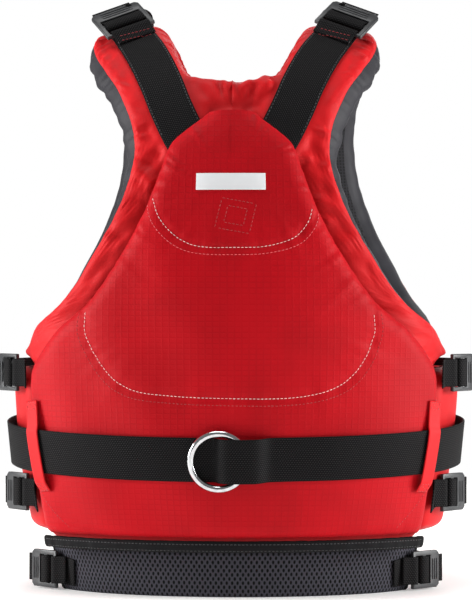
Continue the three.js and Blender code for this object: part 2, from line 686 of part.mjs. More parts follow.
// Zip across the top of the pocket: tape with the closed teeth as a ridge, slider and pull.
const zip = { z: 303, half: 62, tapeHigh: 22, tapeThick: 1.4, toothHigh: 5, toothThick: 1.6, gap: 0.4 };
const slider = { long: 11, high: 9, wall: 1.6, post: 4, postHigh: 3, postOut: 2.4, x: 54 };
const zipFace = -pocketFace + zip.gap;
const tapeTop = zipFace + zip.tapeThick;
const tape = box(2 * zip.half, zip.tapeThick, zip.tapeHigh, [0, -(zipFace + zip.tapeThick / 2), zip.z]);
const teeth = box(2 * zip.half - 4, zip.toothThick + 0.2, zip.toothHigh,
  [0, -(tapeTop + zip.toothThick / 2 - 0.1), zip.z]);
addPart('zip_tape', join(tape, teeth), colour.black);

const channelDeep = zip.toothThick + zip.gap;
const sliderTop = tapeTop + channelDeep + slider.wall;
const sliderCover = box(slider.long, slider.wall, slider.high,
  [slider.x, -(sliderTop - slider.wall / 2), zip.z]);
const wallHigh = (slider.high - zip.toothHigh) / 2 - zip.gap;
const sliderWalls = [-1, 1].map((side) => box(slider.long, channelDeep, wallHigh,
  [slider.x, -(tapeTop + zip.gap / 2 + channelDeep / 2), zip.z + side * (slider.high - wallHigh) / 2]));
const sliderPost = box(slider.post, slider.postOut + 0.4, slider.postHigh,
  [slider.x, -(sliderTop + slider.postOut / 2 - 0.2), zip.z]);
addPart('zip_slider', join(sliderCover, ...sliderWalls, sliderPost), colour.steel, finish.metal);

const pull = { lug: 1.6, lugHigh: 3, side: 0.4, web: 3, long: 24, thick: 1.4 };
const pullOut = -(sliderTop + 1.4);
const pullHalf = slider.post / 2 + pull.side + pull.lug;
const pullMiddle = zip.z - pull.web - pull.long / 2;
const pullPlate = box(2 * pullHalf, pull.thick, pull.long, [slider.x, pullOut, pullMiddle]);
const lugs = [-1, 1].map((side) => box(pull.lug, pull.thick, pull.web + 2,
  [slider.x + side * (pullHalf - pull.lug / 2), pullOut, zip.z - pull.web / 2]));
addPart('zip_pull', join(pullPlate, ...lugs), colour.plastic, finish.plastic);

// The origin is under the middle of the whole vest, at the height it stands on.
const whole = new THREE.Box3().setFromObject(vest);
const centre = whole.getCenter(new THREE.Vector3());
vest.position.set(-centre.x, -centre.y, -whole.min.z);

export default vest;
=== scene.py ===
import json
import math

import bmesh
import bpy
import numpy as np
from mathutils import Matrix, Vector
from mathutils.bvhtree import BVHTree


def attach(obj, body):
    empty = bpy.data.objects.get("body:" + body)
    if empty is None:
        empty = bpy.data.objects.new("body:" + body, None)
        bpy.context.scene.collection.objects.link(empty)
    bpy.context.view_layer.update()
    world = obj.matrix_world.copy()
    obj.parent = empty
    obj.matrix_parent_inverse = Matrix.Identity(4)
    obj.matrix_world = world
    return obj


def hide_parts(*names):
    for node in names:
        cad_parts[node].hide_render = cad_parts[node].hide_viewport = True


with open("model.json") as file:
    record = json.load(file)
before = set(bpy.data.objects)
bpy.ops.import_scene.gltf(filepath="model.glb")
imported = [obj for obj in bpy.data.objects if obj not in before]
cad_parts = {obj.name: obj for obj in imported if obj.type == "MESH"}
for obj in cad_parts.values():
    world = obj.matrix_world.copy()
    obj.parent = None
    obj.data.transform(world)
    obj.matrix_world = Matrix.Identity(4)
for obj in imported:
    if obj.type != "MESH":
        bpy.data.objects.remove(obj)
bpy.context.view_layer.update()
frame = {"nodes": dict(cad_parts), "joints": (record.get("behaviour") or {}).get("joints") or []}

print("frame loaded:", len(frame["nodes"]), "solids")

metre = 0.001   # lengths are millimetres until a mesh is written, and +Y is out of the back of the vest
scene = bpy.context.scene


# one sRGB hex value as a linear colour
def linearColour(hexCode):
    rgb = [int(hexCode[i:i + 2], 16) / 255 for i in (0, 2, 4)]
    return (*[c / 12.92 if c <= 0.04045 else ((c + 0.055) / 1.055) ** 2.4 for c in rgb], 1.0)


# one node, with its settings, and its inputs as values or as sockets to link from
def addNode(tree, kind, settings=None, inputs=None):
    node = tree.nodes.new(kind)
    for key, value in (settings or {}).items():
        setattr(node, key, value)
    for key, value in (inputs or {}).items():
        if isinstance(value, bpy.types.NodeSocket):
            tree.links.new(value, node.inputs[key])
        else:
            node.inputs[key].default_value = value
    return node


camera = {"distance": 2400, "height": 264, "turn": 1.7, "imageHigh": 558}
studio = {
    "backgroundStrength": 1.0, "fillStrength": 0.2,
    "floorColour": "fbfaf8", "floorGlow": 0.3, "floorSize": 2.6,
    "sideLights": [(1800, 260, 500), (-1800, 260, 500)], "sideSize": 800, "sideWatts": 37,
    "topLight": (150, 300, 1900), "topSize": 1000, "topWatts": 16,
    "frontLight": (-300, -2200, 1300), "frontSize": 1600, "frontWatts": 20,
}

# the torso that the vest is cut for, by girth line: how far up the surface it is
torsoForm = {
    "girth": [0, 50, 120, 200, 280, 350, 400, 440, 480, 524, 549],
    "backDepth": [98, 104, 114, 121, 123, 117, 106, 92, 64, 24, 0],
    "frontDepth": [98, 106, 118, 124, 124, 114, 100, 84, 56, 22, 0],
    "height": [0, 50, 120, 200, 280, 350, 399, 438, 469, 490, 495],
    "halfWidth": [156, 164, 176, 182, 182, 178, 173, 168, 162, 158, 156],
    "shoulderDrop": [0, 0, 0, 0, 0, 0, 4, 12, 22, 30, 34],
}


# cubic through values at knots, whose slope at a knot is that between its two neighbours
def smoothCurve(knots, values):
    k, v = np.array(knots, float), np.array(values, float)
    spread = (len(k),) + (1,) * (v.ndim - 1)
    low, high = np.maximum(np.arange(len(k)) - 1, 0), np.minimum(np.arange(len(k)) + 1, len(k) - 1)
    slope = (v[high] - v[low]) / (k[high] - k[low]).reshape(spread)

    def curve(t):
        x = np.clip(np.asarray(t, float), k[0], k[-1])
        i = np.clip(np.searchsorted(k, x, side="right") - 1, 0, len(k) - 2)
        h, shape = k[i + 1] - k[i], x.shape + (1,) * (v.ndim - 1)
        s, h = ((x - k[i]) / h).reshape(shape), h.reshape(shape)
        bend = s * (1 - s) * ((1 - s) * slope[i] - s * slope[i + 1]) * h
        return v[i] + (v[i + 1] - v[i]) * s * s * (3 - 2 * s) + bend

    return curve


backDepth = smoothCurve(torsoForm["girth"], torsoForm["backDepth"])
frontDepth = smoothCurve(torsoForm["girth"], torsoForm["frontDepth"])
heightAt = smoothCurve(torsoForm["girth"], torsoForm["height"])
halfWidth = smoothCurve(torsoForm["girth"], torsoForm["halfWidth"])
shoulderDrop = smoothCurve(torsoForm["girth"], torsoForm["shoulderDrop"])


def unit(v):
    return v / np.maximum(np.linalg.norm(v, axis=-1, keepdims=True), 1e-9)


# half width times the sine across, depth times the cosine front to back, and a drop down to the shoulder
def torsoPoint(phi, g):
    phi, g = np.broadcast_arrays(np.asarray(phi, float), np.asarray(g, float))
    c = np.cos(phi)
    depth = np.where(c >= 0, backDepth(g), frontDepth(g))
    z = heightAt(g) - shoulderDrop(g) * (1 - np.abs(c))
    return np.stack([halfWidth(g) * np.sin(phi), depth * c, z], -1)


def upAt(phi, g):
    return unit(torsoPoint(phi, g + 0.5) - torsoPoint(phi, g - 0.5))


# the way out is square to the way up and the way round
def outwardAt(phi, g):
    return unit(np.cross(upAt(phi, g), torsoPoint(phi + 1e-3, g) - torsoPoint(phi - 1e-3, g)))


def eased(t):
    s = np.clip(t, 0, 1)
    return s * s * (3 - 2 * s)


# how much of its thickness a panel keeps where it reaches round under the arm
def thinningAt(phi, g):
    fromMiddle = np.degrees(np.arccos(np.clip(np.abs(np.cos(phi)), 0, 1)))
    return 1 - 0.62 * eased((g - 192) / 34) * eased((fromMiddle - 46) / 36)


def onSkin(phi, g, off):
    return torsoPoint(phi, g) + outwardAt(phi, g) * np.asarray(off, float)[..., None]


# a place on the level section of the torso: the way round to the front, the way out, the way across
def levelSeat(side, degrees, z, off):
    phi = side * math.radians(degrees)
    p = torsoPoint(phi, z)
    depth = float(backDepth(z) if math.cos(phi) >= 0 else frontDepth(z))
    out = unit(np.array([p[0] / float(halfWidth(z)) ** 2, p[1] / depth ** 2, 0]))
    along = np.array([side * out[1], -side * out[0], 0])
    place = np.array([*(p + out * off)[:2], z])
    return {"p": place, "along": along, "out": out, "across": np.cross(out, along)}


def tilted(seat, degrees):
    c, s = math.cos(math.radians(degrees)), math.sin(math.radians(degrees))
    along, out = seat["along"], seat["out"]
    return {**seat, "along": along * c + out * s, "out": out * c - along * s}


jointPlace = {j["name"]: j.get("pos_m") for j in frame["joints"]}
shiftY = jointPlace["side_lock_upper_left_tilt"][1] / metre - levelSeat(1, 71, 198, 29.6)["p"][1]


# sum of five sine waves with fixed random phases, from about -1 to 1
def wander(s, period, seed):
    rng = np.random.default_rng(seed)
    ratios, phases = np.array([0.45, 0.7, 1, 1.45, 2.2]), rng.uniform(0, 2 * math.pi, 5)
    return np.sin(2 * math.pi * np.asarray(s)[..., None] / (period * ratios) + phases).sum(-1) * 0.4


# the same in space, with each wave in its own direction
def drift(points, period, seed):
    rng = np.random.default_rng(seed)
    ways = unit(rng.normal(size=(6, 3))) * 2 * math.pi / (period * rng.uniform(0.6, 1.6, (6, 1)))
    return np.sin(points @ ways.T + rng.uniform(0, 2 * math.pi, 6)).sum(-1) * 0.35


# quarter round: 0 at a seam, 1 a radius inside it
def quarterRound(distance, radius):
    x = np.clip(distance / radius, 0, 1)
    return np.sqrt(1 - (1 - x) ** 2)


# a line with a point every millimetre or so, and its length at each point
def denseLine(points, step=1.2):
    length = np.concatenate([[0], np.cumsum(np.linalg.norm(np.diff(points, axis=0), axis=1))])
    s = np.linspace(0, length[-1], max(int(length[-1] / step), 2))
    return np.stack([np.interp(s, length, points[:, a]) for a in range(3)], -1), s


# distance to the nearest point of a line, and how far along the line that point is
def nearestOn(points, line):
    dense, s = denseLine(line)
    flat = points.reshape(-1, 3)
    blocks = np.array_split(flat, max(len(flat) // 1500, 1))
    found = [np.linalg.norm(block[:, None] - dense[None], axis=2) for block in blocks]
    index = np.concatenate([d.argmin(1) for d in found])
    near = np.concatenate([d.min(1) for d in found])
    return near.reshape(points.shape[:-1]), s[index].reshape(points.shape[:-1])


# mesh from whole arrays: points in mm, faces as arrays of equal rows, one cloth coordinate for each point
def writeMesh(name, points, faces, uv):
    mesh = bpy.data.meshes.new(name)
    place = np.asarray(points, float).reshape(-1, 3) * metre
    place[:, 1] += shiftY * metre
    loops = np.concatenate([np.asarray(f).ravel() for f in faces]).astype(np.int32)
    sizes = np.concatenate([np.full(len(f), np.asarray(f).shape[1]) for f in faces])
    mesh.vertices.add(len(place))
    mesh.vertices.foreach_set("co", place.astype(np.float32).ravel())
    mesh.loops.add(len(loops))
    mesh.loops.foreach_set("vertex_index", loops)
    mesh.polygons.add(len(sizes))
    mesh.polygons.foreach_set("loop_start", np.concatenate([[0], np.cumsum(sizes)[:-1]]).astype(np.int32))
    mesh.polygons.foreach_set("use_smooth", np.ones(len(sizes), bool))
    mesh.update(calc_edges=True)
    corners = np.asarray(uv, float).reshape(-1, 2)[loops] * metre
    mesh.uv_layers.new(name="cloth").data.foreach_set("uv", corners.astype(np.float32).ravel())
    mesh.validate()
    obj = bpy.data.objects.new(name, mesh)
    scene.collection.objects.link(obj)
    return obj


def gridFaces(rows, columns, start=0, closed=False, flip=False):
    i, j = np.meshgrid(np.arange(rows - 1), np.arange(columns if closed else columns - 1), indexing="ij")
    k = (j + 1) % columns
    quads = np.stack([i * columns + j, i * columns + k, (i + 1) * columns + k, (i + 1) * columns + j], -1)
    quads = quads.reshape(-1, 4) + start
    return quads[:, ::-1] if flip else quads


def weld(points, faces, uv, grain=0.004):
    key = np.round(np.asarray(points) / grain).astype(np.int64)
    _, first, inverse = np.unique(key, axis=0, return_index=True, return_inverse=True)
    inverse = inverse.reshape(-1)
    return points[first], [inverse[f] for f in faces], uv[first]


def finishPiece(obj, material, body="vest", stands=(), levels=0):
    obj.data.materials.append(material)
    if levels:
        fine = obj.modifiers.new("fine", "SUBSURF")
        fine.levels = fine.render_levels = levels
    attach(obj, body)
    if stands:
        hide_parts(*stands)
    return obj


# a cloth material's start: its shader, and the mesh's cloth coordinates in metres
def startMaterial(name, shader):
    material = bpy.data.materials.new(name)
    material.use_nodes = True
    tree = material.node_tree
    tree.nodes.clear()
    surface = addNode(tree, "ShaderNodeBsdfPrincipled", inputs=shader)
    output = addNode(tree, "ShaderNodeOutputMaterial")
    tree.links.new(surface.outputs["BSDF"], output.inputs["Surface"])
    cloth = addNode(tree, "ShaderNodeUVMap", {"uv_map": "cloth"}).outputs["UV"]
    place = addNode(tree, "ShaderNodeTexCoord").outputs["Object"]
    return material, tree, surface, cloth, place


# scale of a wave texture whose bands are that many millimetres apart
def bandScale(pitch):
    return 2 * math.pi / 20 / (pitch * metre)


def bands(tree, vector, pitch, direction, distortion=0.0):
    return addNode(tree, "ShaderNodeTexWave", {"wave_type": "BANDS", "bands_direction": direction},
                   {"Vector": vector, "Scale": bandScale(pitch), "Distortion": distortion}).outputs["Fac"]


def ramp(tree, value, low, high):
    return addNode(tree, "ShaderNodeMapRange", {"interpolation_type": "SMOOTHSTEP"},
                   {"Value": value, "From Min": low, "From Max": high}).outputs["Result"]


def calculate(tree, operation, first, second):
    return addNode(tree, "ShaderNodeMath", {"operation": operation}, {0: first, 1: second}).outputs[0]


def mixColours(tree, share, first, second):
    node = addNode(tree, "ShaderNodeMix", {"data_type": "RGBA"}, {"Factor": share})
    for key, value in ((6, first), (7, second)):
        if isinstance(value, bpy.types.NodeSocket):
            tree.links.new(value, node.inputs[key])
        else:
            node.inputs[key].default_value = linearColour(value)
    return node.outputs[2]


def raiseSurface(tree, surface, height, strength, depth):
    settings = {"Height": height, "Strength": strength, "Distance": depth * metre}
    bump = addNode(tree, "ShaderNodeBump", inputs=settings)
    tree.links.new(bump.outputs["Normal"], surface.inputs["Normal"])


def patches(tree, vector, size, detail=2.0):
    settings = {"Vector": vector, "Scale": 1 / (size * metre), "Detail": detail}
    return addNode(tree, "ShaderNodeTexNoise", inputs=settings).outputs["Fac"]


# plain-woven nylon: fine cross threads and a satin sheen; the 0.4 mm threads are drawn 1.1 mm apart to show
def wovenNylon(name, light, dark, sheen=0.06, roughness=0.6):
    material, tree, surface, cloth, place = startMaterial(name, {
        "Roughness": roughness, "Sheen Weight": sheen, "Sheen Roughness": 0.4,
        "Specular IOR Level": 0.2, "IOR": 1.53})
    weave = calculate(tree, "MULTIPLY", bands(tree, cloth, 1.1, "X"), bands(tree, cloth, 1.1, "Y"))
    worn = patches(tree, place, 45)
    colour = mixColours(tree, ramp(tree, worn, 0.35, 0.65), light, dark)
    tree.links.new(colour, surface.inputs["Base Color"])
    raiseSurface(tree, surface, weave, 0.25, 0.25)
    return material


# ripstop nylon: the same weave with a doubled thread every 4.6 mm each way, seen as a darker raised grid
def ripstopNylon(name, light, dark, line, pitch=4.6):
    material, tree, surface, cloth, place = startMaterial(name, {
        "Roughness": 0.58, "Sheen Weight": 0.02, "Sheen Roughness": 0.4,
        "Specular IOR Level": 0.12, "IOR": 1.53})
    lines = calculate(tree, "MAXIMUM", ramp(tree, bands(tree, cloth, pitch, "X"), 0.8, 0.98),
                      ramp(tree, bands(tree, cloth, pitch, "Y"), 0.8, 0.98))
    shown = addNode(tree, "ShaderNodeMapRange", inputs={
        "Value": patches(tree, cloth, 30, 1.0), "From Min": 0.3, "From Max": 0.7,
        "To Min": 0.03, "To Max": 0.22})
    broken = calculate(tree, "MULTIPLY", lines, shown.outputs["Result"])
    weave = calculate(tree, "MULTIPLY", bands(tree, cloth, 0.9, "X"), bands(tree, cloth, 0.9, "Y"))
    base = mixColours(tree, ramp(tree, patches(tree, place, 60), 0.35, 0.65), light, dark)
    tree.links.new(mixColours(tree, broken, base, line), surface.inputs["Base Color"])
    height = calculate(tree, "ADD", calculate(tree, "MULTIPLY", weave, 0.35), lines)
    raiseSurface(tree, surface, height, 0.3, 0.3)
    return material


# nylon webbing: ribs of small rice-grain floats, 1.7 mm apart across and about 1.9 mm apart along the slant,
# with painted shade: near-black in the dips between floats, lighter on the raised floats
def wovenWebbing(name, light, dark):
    material, tree, surface, cloth, place = startMaterial(name, {
        "Roughness": 0.7, "Specular IOR Level": 0.1, "IOR": 1.53})
    turn = (0, 0, math.radians(36))
    turned = addNode(tree, "ShaderNodeMapping", inputs={"Vector": cloth, "Rotation": turn}).outputs[0]
    across = bands(tree, cloth, 1.7, "X")
    slanted = bands(tree, turned, 1.9, "Y")
    grain = calculate(tree, "MULTIPLY", across, slanted)
    shown = ramp(tree, grain, 0.25, 0.8)
    # painted shade: where the weave dips the colour goes near-black, following the same grain as the bump
    colour = mixColours(tree, shown, dark, light)
    tree.links.new(colour, surface.inputs["Base Color"])
    raiseSurface(tree, surface, grain, 0.5, 0.5)
    return material


# warp-knitted spacer mesh: staggered oval eyelets, 4.3 mm apart across and 3.7 mm along; the eyelets are
# filled with a near-black colour, painted shade for the depth of the holes
def spacerMesh(name, light, dark, holeShade, across=4.3, along=3.7):
    material, tree, surface, cloth, place = startMaterial(name, {
        "Roughness": 0.8, "Specular IOR Level": 0.15, "IOR": 1.5})
    scale = (math.sqrt(0.5) * 2 / (across * metre), math.sqrt(0.5) / (along * metre), 1)
    grid = addNode(tree, "ShaderNodeMapping", inputs={
        "Vector": cloth, "Scale": scale, "Rotation": (0, 0, math.radians(45))}).outputs[0]
    cell = addNode(tree, "ShaderNodeTexVoronoi", {"voronoi_dimensions": "2D"},
                   {"Vector": grid, "Scale": 1.0, "Randomness": 0.0}).outputs["Distance"]
    eyelet = ramp(tree, cell, 0.42, 0.22)
    knit = bands(tree, cloth, 0.8, "X")
    base = mixColours(tree, calculate(tree, "MULTIPLY", knit, 0.6), light, dark)
    # painted shade: the eyelets take the near-black hole colour in place of the shade inside the holes
    tree.links.new(mixColours(tree, eyelet, base, holeShade), surface.inputs["Base Color"])
    raiseSurface(tree, surface, calculate(tree, "SUBTRACT", 1.0, eyelet), 0.7, 0.8)
    return material


# knitted lining: fine round eyelets 3 mm apart, filled with a near-black colour as painted shade inside the
# holes
def liningMesh(name, light, holeShade):
    material, tree, surface, cloth, place = startMaterial(name, {
        "Roughness": 0.85, "Sheen Weight": 0.2, "IOR": 1.5})
    cell = addNode(tree, "ShaderNodeTexVoronoi", {"voronoi_dimensions": "2D"},
                   {"Vector": cloth, "Scale": 1 / (3 * metre), "Randomness": 0.0}).outputs["Distance"]
    eyelet = ramp(tree, cell, 0.4, 0.25)
    # painted shade: the eyelets take the near-black hole colour
    tree.links.new(mixColours(tree, eyelet, light, holeShade), surface.inputs["Base Color"])
    raiseSurface(tree, surface, calculate(tree, "SUBTRACT", 1.0, eyelet), 0.5, 0.5)
    return material


# woven binding tape: fine cross ribs, a little darker in the dips between them as painted shade, and a dull
# face
def bindingTape(name, light, dark):
    material, tree, surface, cloth, place = startMaterial(name, {
        "Roughness": 0.7, "Specular IOR Level": 0.12, "IOR": 1.53})
    ribs = bands(tree, cloth, 1.3, "Y")
    # painted shade: the rib dips take the darker colour
    tree.links.new(mixColours(tree, ribs, dark, light), surface.inputs["Base Color"])
    raiseSurface(tree, surface, ribs, 0.35, 0.3)
    return material


# closed-cell foam, sliced: matte with fine pores
def slicedFoam(name, light, dark):
    material, tree, surface, cloth, place = startMaterial(name, {"Roughness": 0.9, "IOR": 1.45})
    pores = patches(tree, place, 2.2, 4.0)
    tree.links.new(mixColours(tree, pores, dark, light), surface.inputs["Base Color"])
    raiseSurface(tree, surface, pores, 0.3, 0.4)
    return material


# injection-moulded plastic: a fine spark-eroded grain, and wear that smooths it in patches
def mouldedPlastic(name, light, dark, roughness, grain=0.12):
    material, tree, surface, cloth, place = startMaterial(name, {"IOR": 1.48, "Specular IOR Level": 0.5})
    fine = patches(tree, place, 0.9, 3.0)
    rubbed = patches(tree, place, 12)
    tree.links.new(mixColours(tree, ramp(tree, rubbed, 0.3, 0.7), light, dark), surface.inputs["Base Color"])
    limits = {"Value": rubbed, "To Min": roughness - 0.08, "To Max": roughness + 0.08}
    rough = addNode(tree, "ShaderNodeMapRange", inputs=limits)
    tree.links.new(rough.outputs["Result"], surface.inputs["Roughness"])
    raiseSurface(tree, surface, fine, grain, 0.2)
    return material


# polished stainless steel: a mirror with faint draw marks
def polishedSteel(name, light, dark, roughness=0.12):
    material, tree, surface, cloth, place = startMaterial(name, {"Metallic": 1.0})
    marks = patches(tree, place, 5, 5.0)
    tree.links.new(mixColours(tree, ramp(tree, marks, 0.3, 0.7), light, dark), surface.inputs["Base Color"])
    limits = {"Value": marks, "To Min": roughness - 0.05, "To Max": roughness + 0.08}
    rough = addNode(tree, "ShaderNodeMapRange", inputs=limits)
    tree.links.new(rough.outputs["Result"], surface.inputs["Roughness"])
    return material


# glass-bead reflective tape: pale, with a fine honeycomb of weld lines
def beadTape(name, light, dark):
    material, tree, surface, cloth, place = startMaterial(name, {
        "Roughness": 0.35, "Coat Weight": 0.3, "IOR": 1.5})
    cell = addNode(tree, "ShaderNodeTexVoronoi", {"voronoi_dimensions": "2D", "feature": "DISTANCE_TO_EDGE"},
                   {"Vector": cloth, "Scale": 1 / (3.5 * metre), "Randomness": 0.15}).outputs["Distance"]
    line = ramp(tree, cell, 0.09, 0.03)
    tree.links.new(mixColours(tree, line, light, dark), surface.inputs["Base Color"])
    raiseSurface(tree, surface, calculate(tree, "SUBTRACT", 1.0, line), 0.2, 0.2)
    return material


# bonded nylon sewing thread: smooth with a slight twist
def sewingThread(name, light, dark):
    material, tree, surface, cloth, place = startMaterial(name, {
        "Roughness": 0.45, "Sheen Weight": 0.2, "IOR": 1.53})
    twist = bands(tree, place, 0.7, "DIAGONAL")
    tree.links.new(mixColours(tree, twist, light, dark), surface.inputs["Base Color"])
    raiseSurface(tree, surface, twist, 0.3, 0.1)
    return material


cloths = {
    "redNylon": wovenNylon("redSatinNylon", "cf0711", "c4050f"),
    "ripstop": ripstopNylon("redRipstopNylon", "ba0313", "af0311", "8e0210"),
    "charcoal": wovenNylon("charcoalNylonFacing", "2c2b30", "252429", roughness=0.55),
    "foam": slicedFoam("closedCellFoam", "ded8c8", "c9c2b0"),
    "liner": liningMesh("knittedLiningMesh", "303035", "0f0f11"),
    "mesh": spacerMesh("greySpacerMesh", "44434b", "36353c", "060607"),
    "binding": bindingTape("blackBindingTape", "161618", "0c0c0d"),
    "webbing": wovenWebbing("blackNylonWebbing", "302e2f", "050506"),
    "redWebbing": wovenNylon("redTapeNylon", "d20a14", "c60710"),
    "reflective": beadTape("glassBeadTape", "eceef0", "c4c7ca"),
    "acetal": mouldedPlastic("mouldedAcetal", "37383a", "2b2c2e", 0.42),
    "gloss": mouldedPlastic("polishedMoulding", "1b1b1e", "141416", 0.18, 0.03),
    "rubber": mouldedPlastic("mouldedRubberPatch", "1c1c1f", "141416", 0.7, 0.2),
    "steel": polishedSteel("polishedStainlessSteel", "d9dadc", "c6c8ca"),
    "zipMetal": polishedSteel("zincSliderAlloy", "8b8c90", "6f7074", 0.3),
    "whiteThread": sewingThread("whiteNylonThread", "f6e9e6", "e4cfcc"),
    "paleThread": sewingThread("pinkNylonThread", "e8656c", "d44a52"),
    "redThread": sewingThread("redNylonThread", "b30d18", "8f0811"),
    "blackThread": sewingThread("blackNylonThread", "2b2b2e", "1a1a1c"),
}
print("materials made:", len(cloths))

# camera and studio come before the pieces
lens = bpy.data.cameras.new("camera")
lens.lens = lens.sensor_width * camera["distance"] / camera["imageHigh"]
viewer = bpy.data.objects.new("camera", lens)
scene.collection.objects.link(viewer)
scene.camera = viewer
turn = math.radians(camera["turn"])
away = np.array([-math.sin(turn), math.cos(turn), 0])
viewer.location = Vector(away * camera["distance"] + [0, shiftY, camera["height"]]) * metre
viewer.rotation_euler = (math.pi / 2, 0, math.pi + turn)
scene.view_settings.view_transform = "Standard"


def makeLight(name, place, size, watts, aim=(0, 0, 260)):
    light = bpy.data.lights.new(name, "AREA")
    light.size = size * metre
    light.energy = watts
    holder = bpy.data.objects.new(name, light)
    holder.location = Vector(place) * metre
    way = (Vector(aim) - Vector(place)).normalized()
    holder.rotation_euler = way.to_track_quat("-Z", "Y").to_euler()
    scene.collection.objects.link(holder)


def makeStudio():
    world = bpy.data.worlds.new("studio")
    world.use_nodes = True
    tree = world.node_tree
    seen = addNode(tree, "ShaderNodeLightPath").outputs["Is Camera Ray"]
    limits = {"Value": seen, "To Min": studio["fillStrength"], "To Max": studio["backgroundStrength"]}
    strength = addNode(tree, "ShaderNodeMapRange", inputs=limits).outputs["Result"]
    tree.nodes["Background"].inputs["Color"].default_value = (1, 1, 1, 1)
    tree.links.new(strength, tree.nodes["Background"].inputs["Strength"])
    scene.world = world
    for i, place in enumerate(studio["sideLights"]):
        makeLight(f"sideLight{i}", place, studio["sideSize"], studio["sideWatts"])
    makeLight("topLight", studio["topLight"], studio["topSize"], studio["topWatts"])
    makeLight("frontLight", studio["frontLight"], studio["frontSize"], studio["frontWatts"])
    half = studio["floorSize"] / 2
    mesh = bpy.data.meshes.new("floor")
    corners = [(-half, -half, 0), (half, -half, 0), (half, half, 0), (-half, half, 0)]
    mesh.from_pydata(corners, [], [(0, 1, 2, 3)])
    floor = bpy.data.objects.new("floor", mesh)
    scene.collection.objects.link(floor)
    material = bpy.data.materials.new("paleFloorPaint")
    material.use_nodes = True
    paint = material.node_tree.nodes["Principled BSDF"]
    paint.inputs["Base Color"].default_value = linearColour(studio["floorColour"])
    paint.inputs["Roughness"].default_value = 0.9
    paint.inputs["Emission Color"].default_value = (1, 1, 1, 1)
    paint.inputs["Emission Strength"].default_value = studio["floorGlow"]
    mesh.materials.append(material)


makeStudio()
print("camera and studio set")

# edges of the half panels, as degrees from the middle and girth line
outlines = {
    "backInner": [(0, 52), (0, 130), (0, 205), (0, 250), (0, 285), (0, 330), (0, 385), (0, 425), (0, 450),
                  (12, 458), (17, 484), (19.5, 512), (21.5, 532), (22.5, 548.4)],
    "backOuter": [(62, 52), (62.5, 128), (62, 203), (84, 217), (70, 235), (49, 262), (34.5, 320), (27.5, 372),
                  (28, 410), (33.5, 440), (41, 466), (47.5, 492), (51, 520), (51, 548.4)],
    "bodyInner": [(0, 59), (0, 130), (0, 200), (0, 232), (0, 262), (0, 300), (0, 340), (0, 375), (0, 398),
                  (0, 420)],
    "bodyOuter": [(61, 59), (61, 130), (60.5, 200), (50, 235), (38, 262), (28.5, 302), (22.5, 338),
                  (18.5, 372), (15.5, 397), (6.5, 420)],
    "frontInner": [(0, 52), (0, 130), (0, 205), (0, 245), (0, 280), (0, 320), (0, 355), (0, 385), (0, 400),
                   (14, 410), (19, 455), (21, 505), (22.5, 548.4)],
    "frontOuter": [(62, 52), (62.5, 128), (62, 203), (84, 217), (68, 243), (55, 268), (46, 305), (39.5, 345),
                   (36, 385), (37, 430), (43, 470), (49, 510), (51, 548.4)],
}
panelShape = {
    "full": 28.4, "armSeam": 23.5, "armRoll": 9, "neckSeam": 9, "neckRoll": 15, "hemSeam": 20, "hemRoll": 10,
    "crestSeam": 14, "crestRoll": 10, "rowsPerKnot": 13, "columns": 40,
    "puckerHeight": 1.8, "puckerPeriod": 12, "puckerReach": 17, "driftHeight": 1.6, "driftPeriod": 70,
    "creaseDepth": 7.0, "creaseReach": 9, "dragFolds": 17, "dragDepth": 2.8, "dragWidth": 5.5,
}
bodyShape = {
    "rise": 9.1, "roll": 15, "rowsPerKnot": 16, "columns": 48, "puckerHeight": 0.9, "puckerPeriod": 13,
    "puckerReach": 16, "driftHeight": 1.3, "driftPeriod": 90, "arcDepth": 1.5,
}


# uniform Catmull-Rom curve through the points
def splineThrough(points, t):
    p = np.array(points, float)
    n = len(p) - 1
    x = np.clip(t, 0, 1) * n
    i = np.minimum(x.astype(int), n - 1)
    w = (x - i)[:, None]
    before, a, b, after = p[np.maximum(i - 1, 0)], p[i], p[i + 1], p[np.minimum(i + 2, n)]
    slopeA, slopeB = (b - before) / 2, (after - a) / 2
    cubic, square = 2 * a - 2 * b + slopeA + slopeB, 3 * b - 3 * a - 2 * slopeA - slopeB
    return cubic * w ** 3 + square * w ** 2 + slopeA * w + a


# half a panel, ruled from the inner edge to the outer edge, with the columns closer near both edges
def halfPanel(which, rowsPerKnot, columns):
    inner, outer = outlines[which + "Inner"], outlines[which + "Outer"]
    t = np.linspace(0, 1, (len(inner) - 1) * rowsPerKnot + 1)
    a, b = splineThrough(inner, t), splineThrough(outer, t)
    a[:, 0] = np.where(a[:, 0] < 0.5, 0, a[:, 0])
    s = np.linspace(0, 1, columns + 1)
    u = (0.35 * s + 0.65 * (1 - np.cos(math.pi * s)) / 2)[None, :, None]
    cells = a[:, None] * (1 - u) + b[:, None] * u
    return np.radians(cells[..., 0]), cells[..., 1]


# both halves of a panel as angle, girth line and side
def sidesOf(which, rowsPerKnot, columns):
    angle, g = halfPanel(which, rowsPerKnot, columns)
    turned = math.pi - angle if which == "front" else angle
    return [(side * turned, g, side, angle) for side in (1, -1)]


# seam lines of a panel's left half, on its full surface
def seamLines(which):
    angle, g = halfPanel(which, 8, 10)
    phi = math.pi - angle if which == "front" else angle
    surface = onSkin(phi, g, panelShape["full"] * thinningAt(phi, g))
    open_ = angle[:, 0] > 0
    return {"arm": surface[:, -1], "hem": surface[0], "crest": surface[-1], "neck": surface[open_, 0]}


seams = {which: seamLines(which) for which in ("back", "front")}


def mirrored(points, side):
    return points * np.array([side, 1, 1])


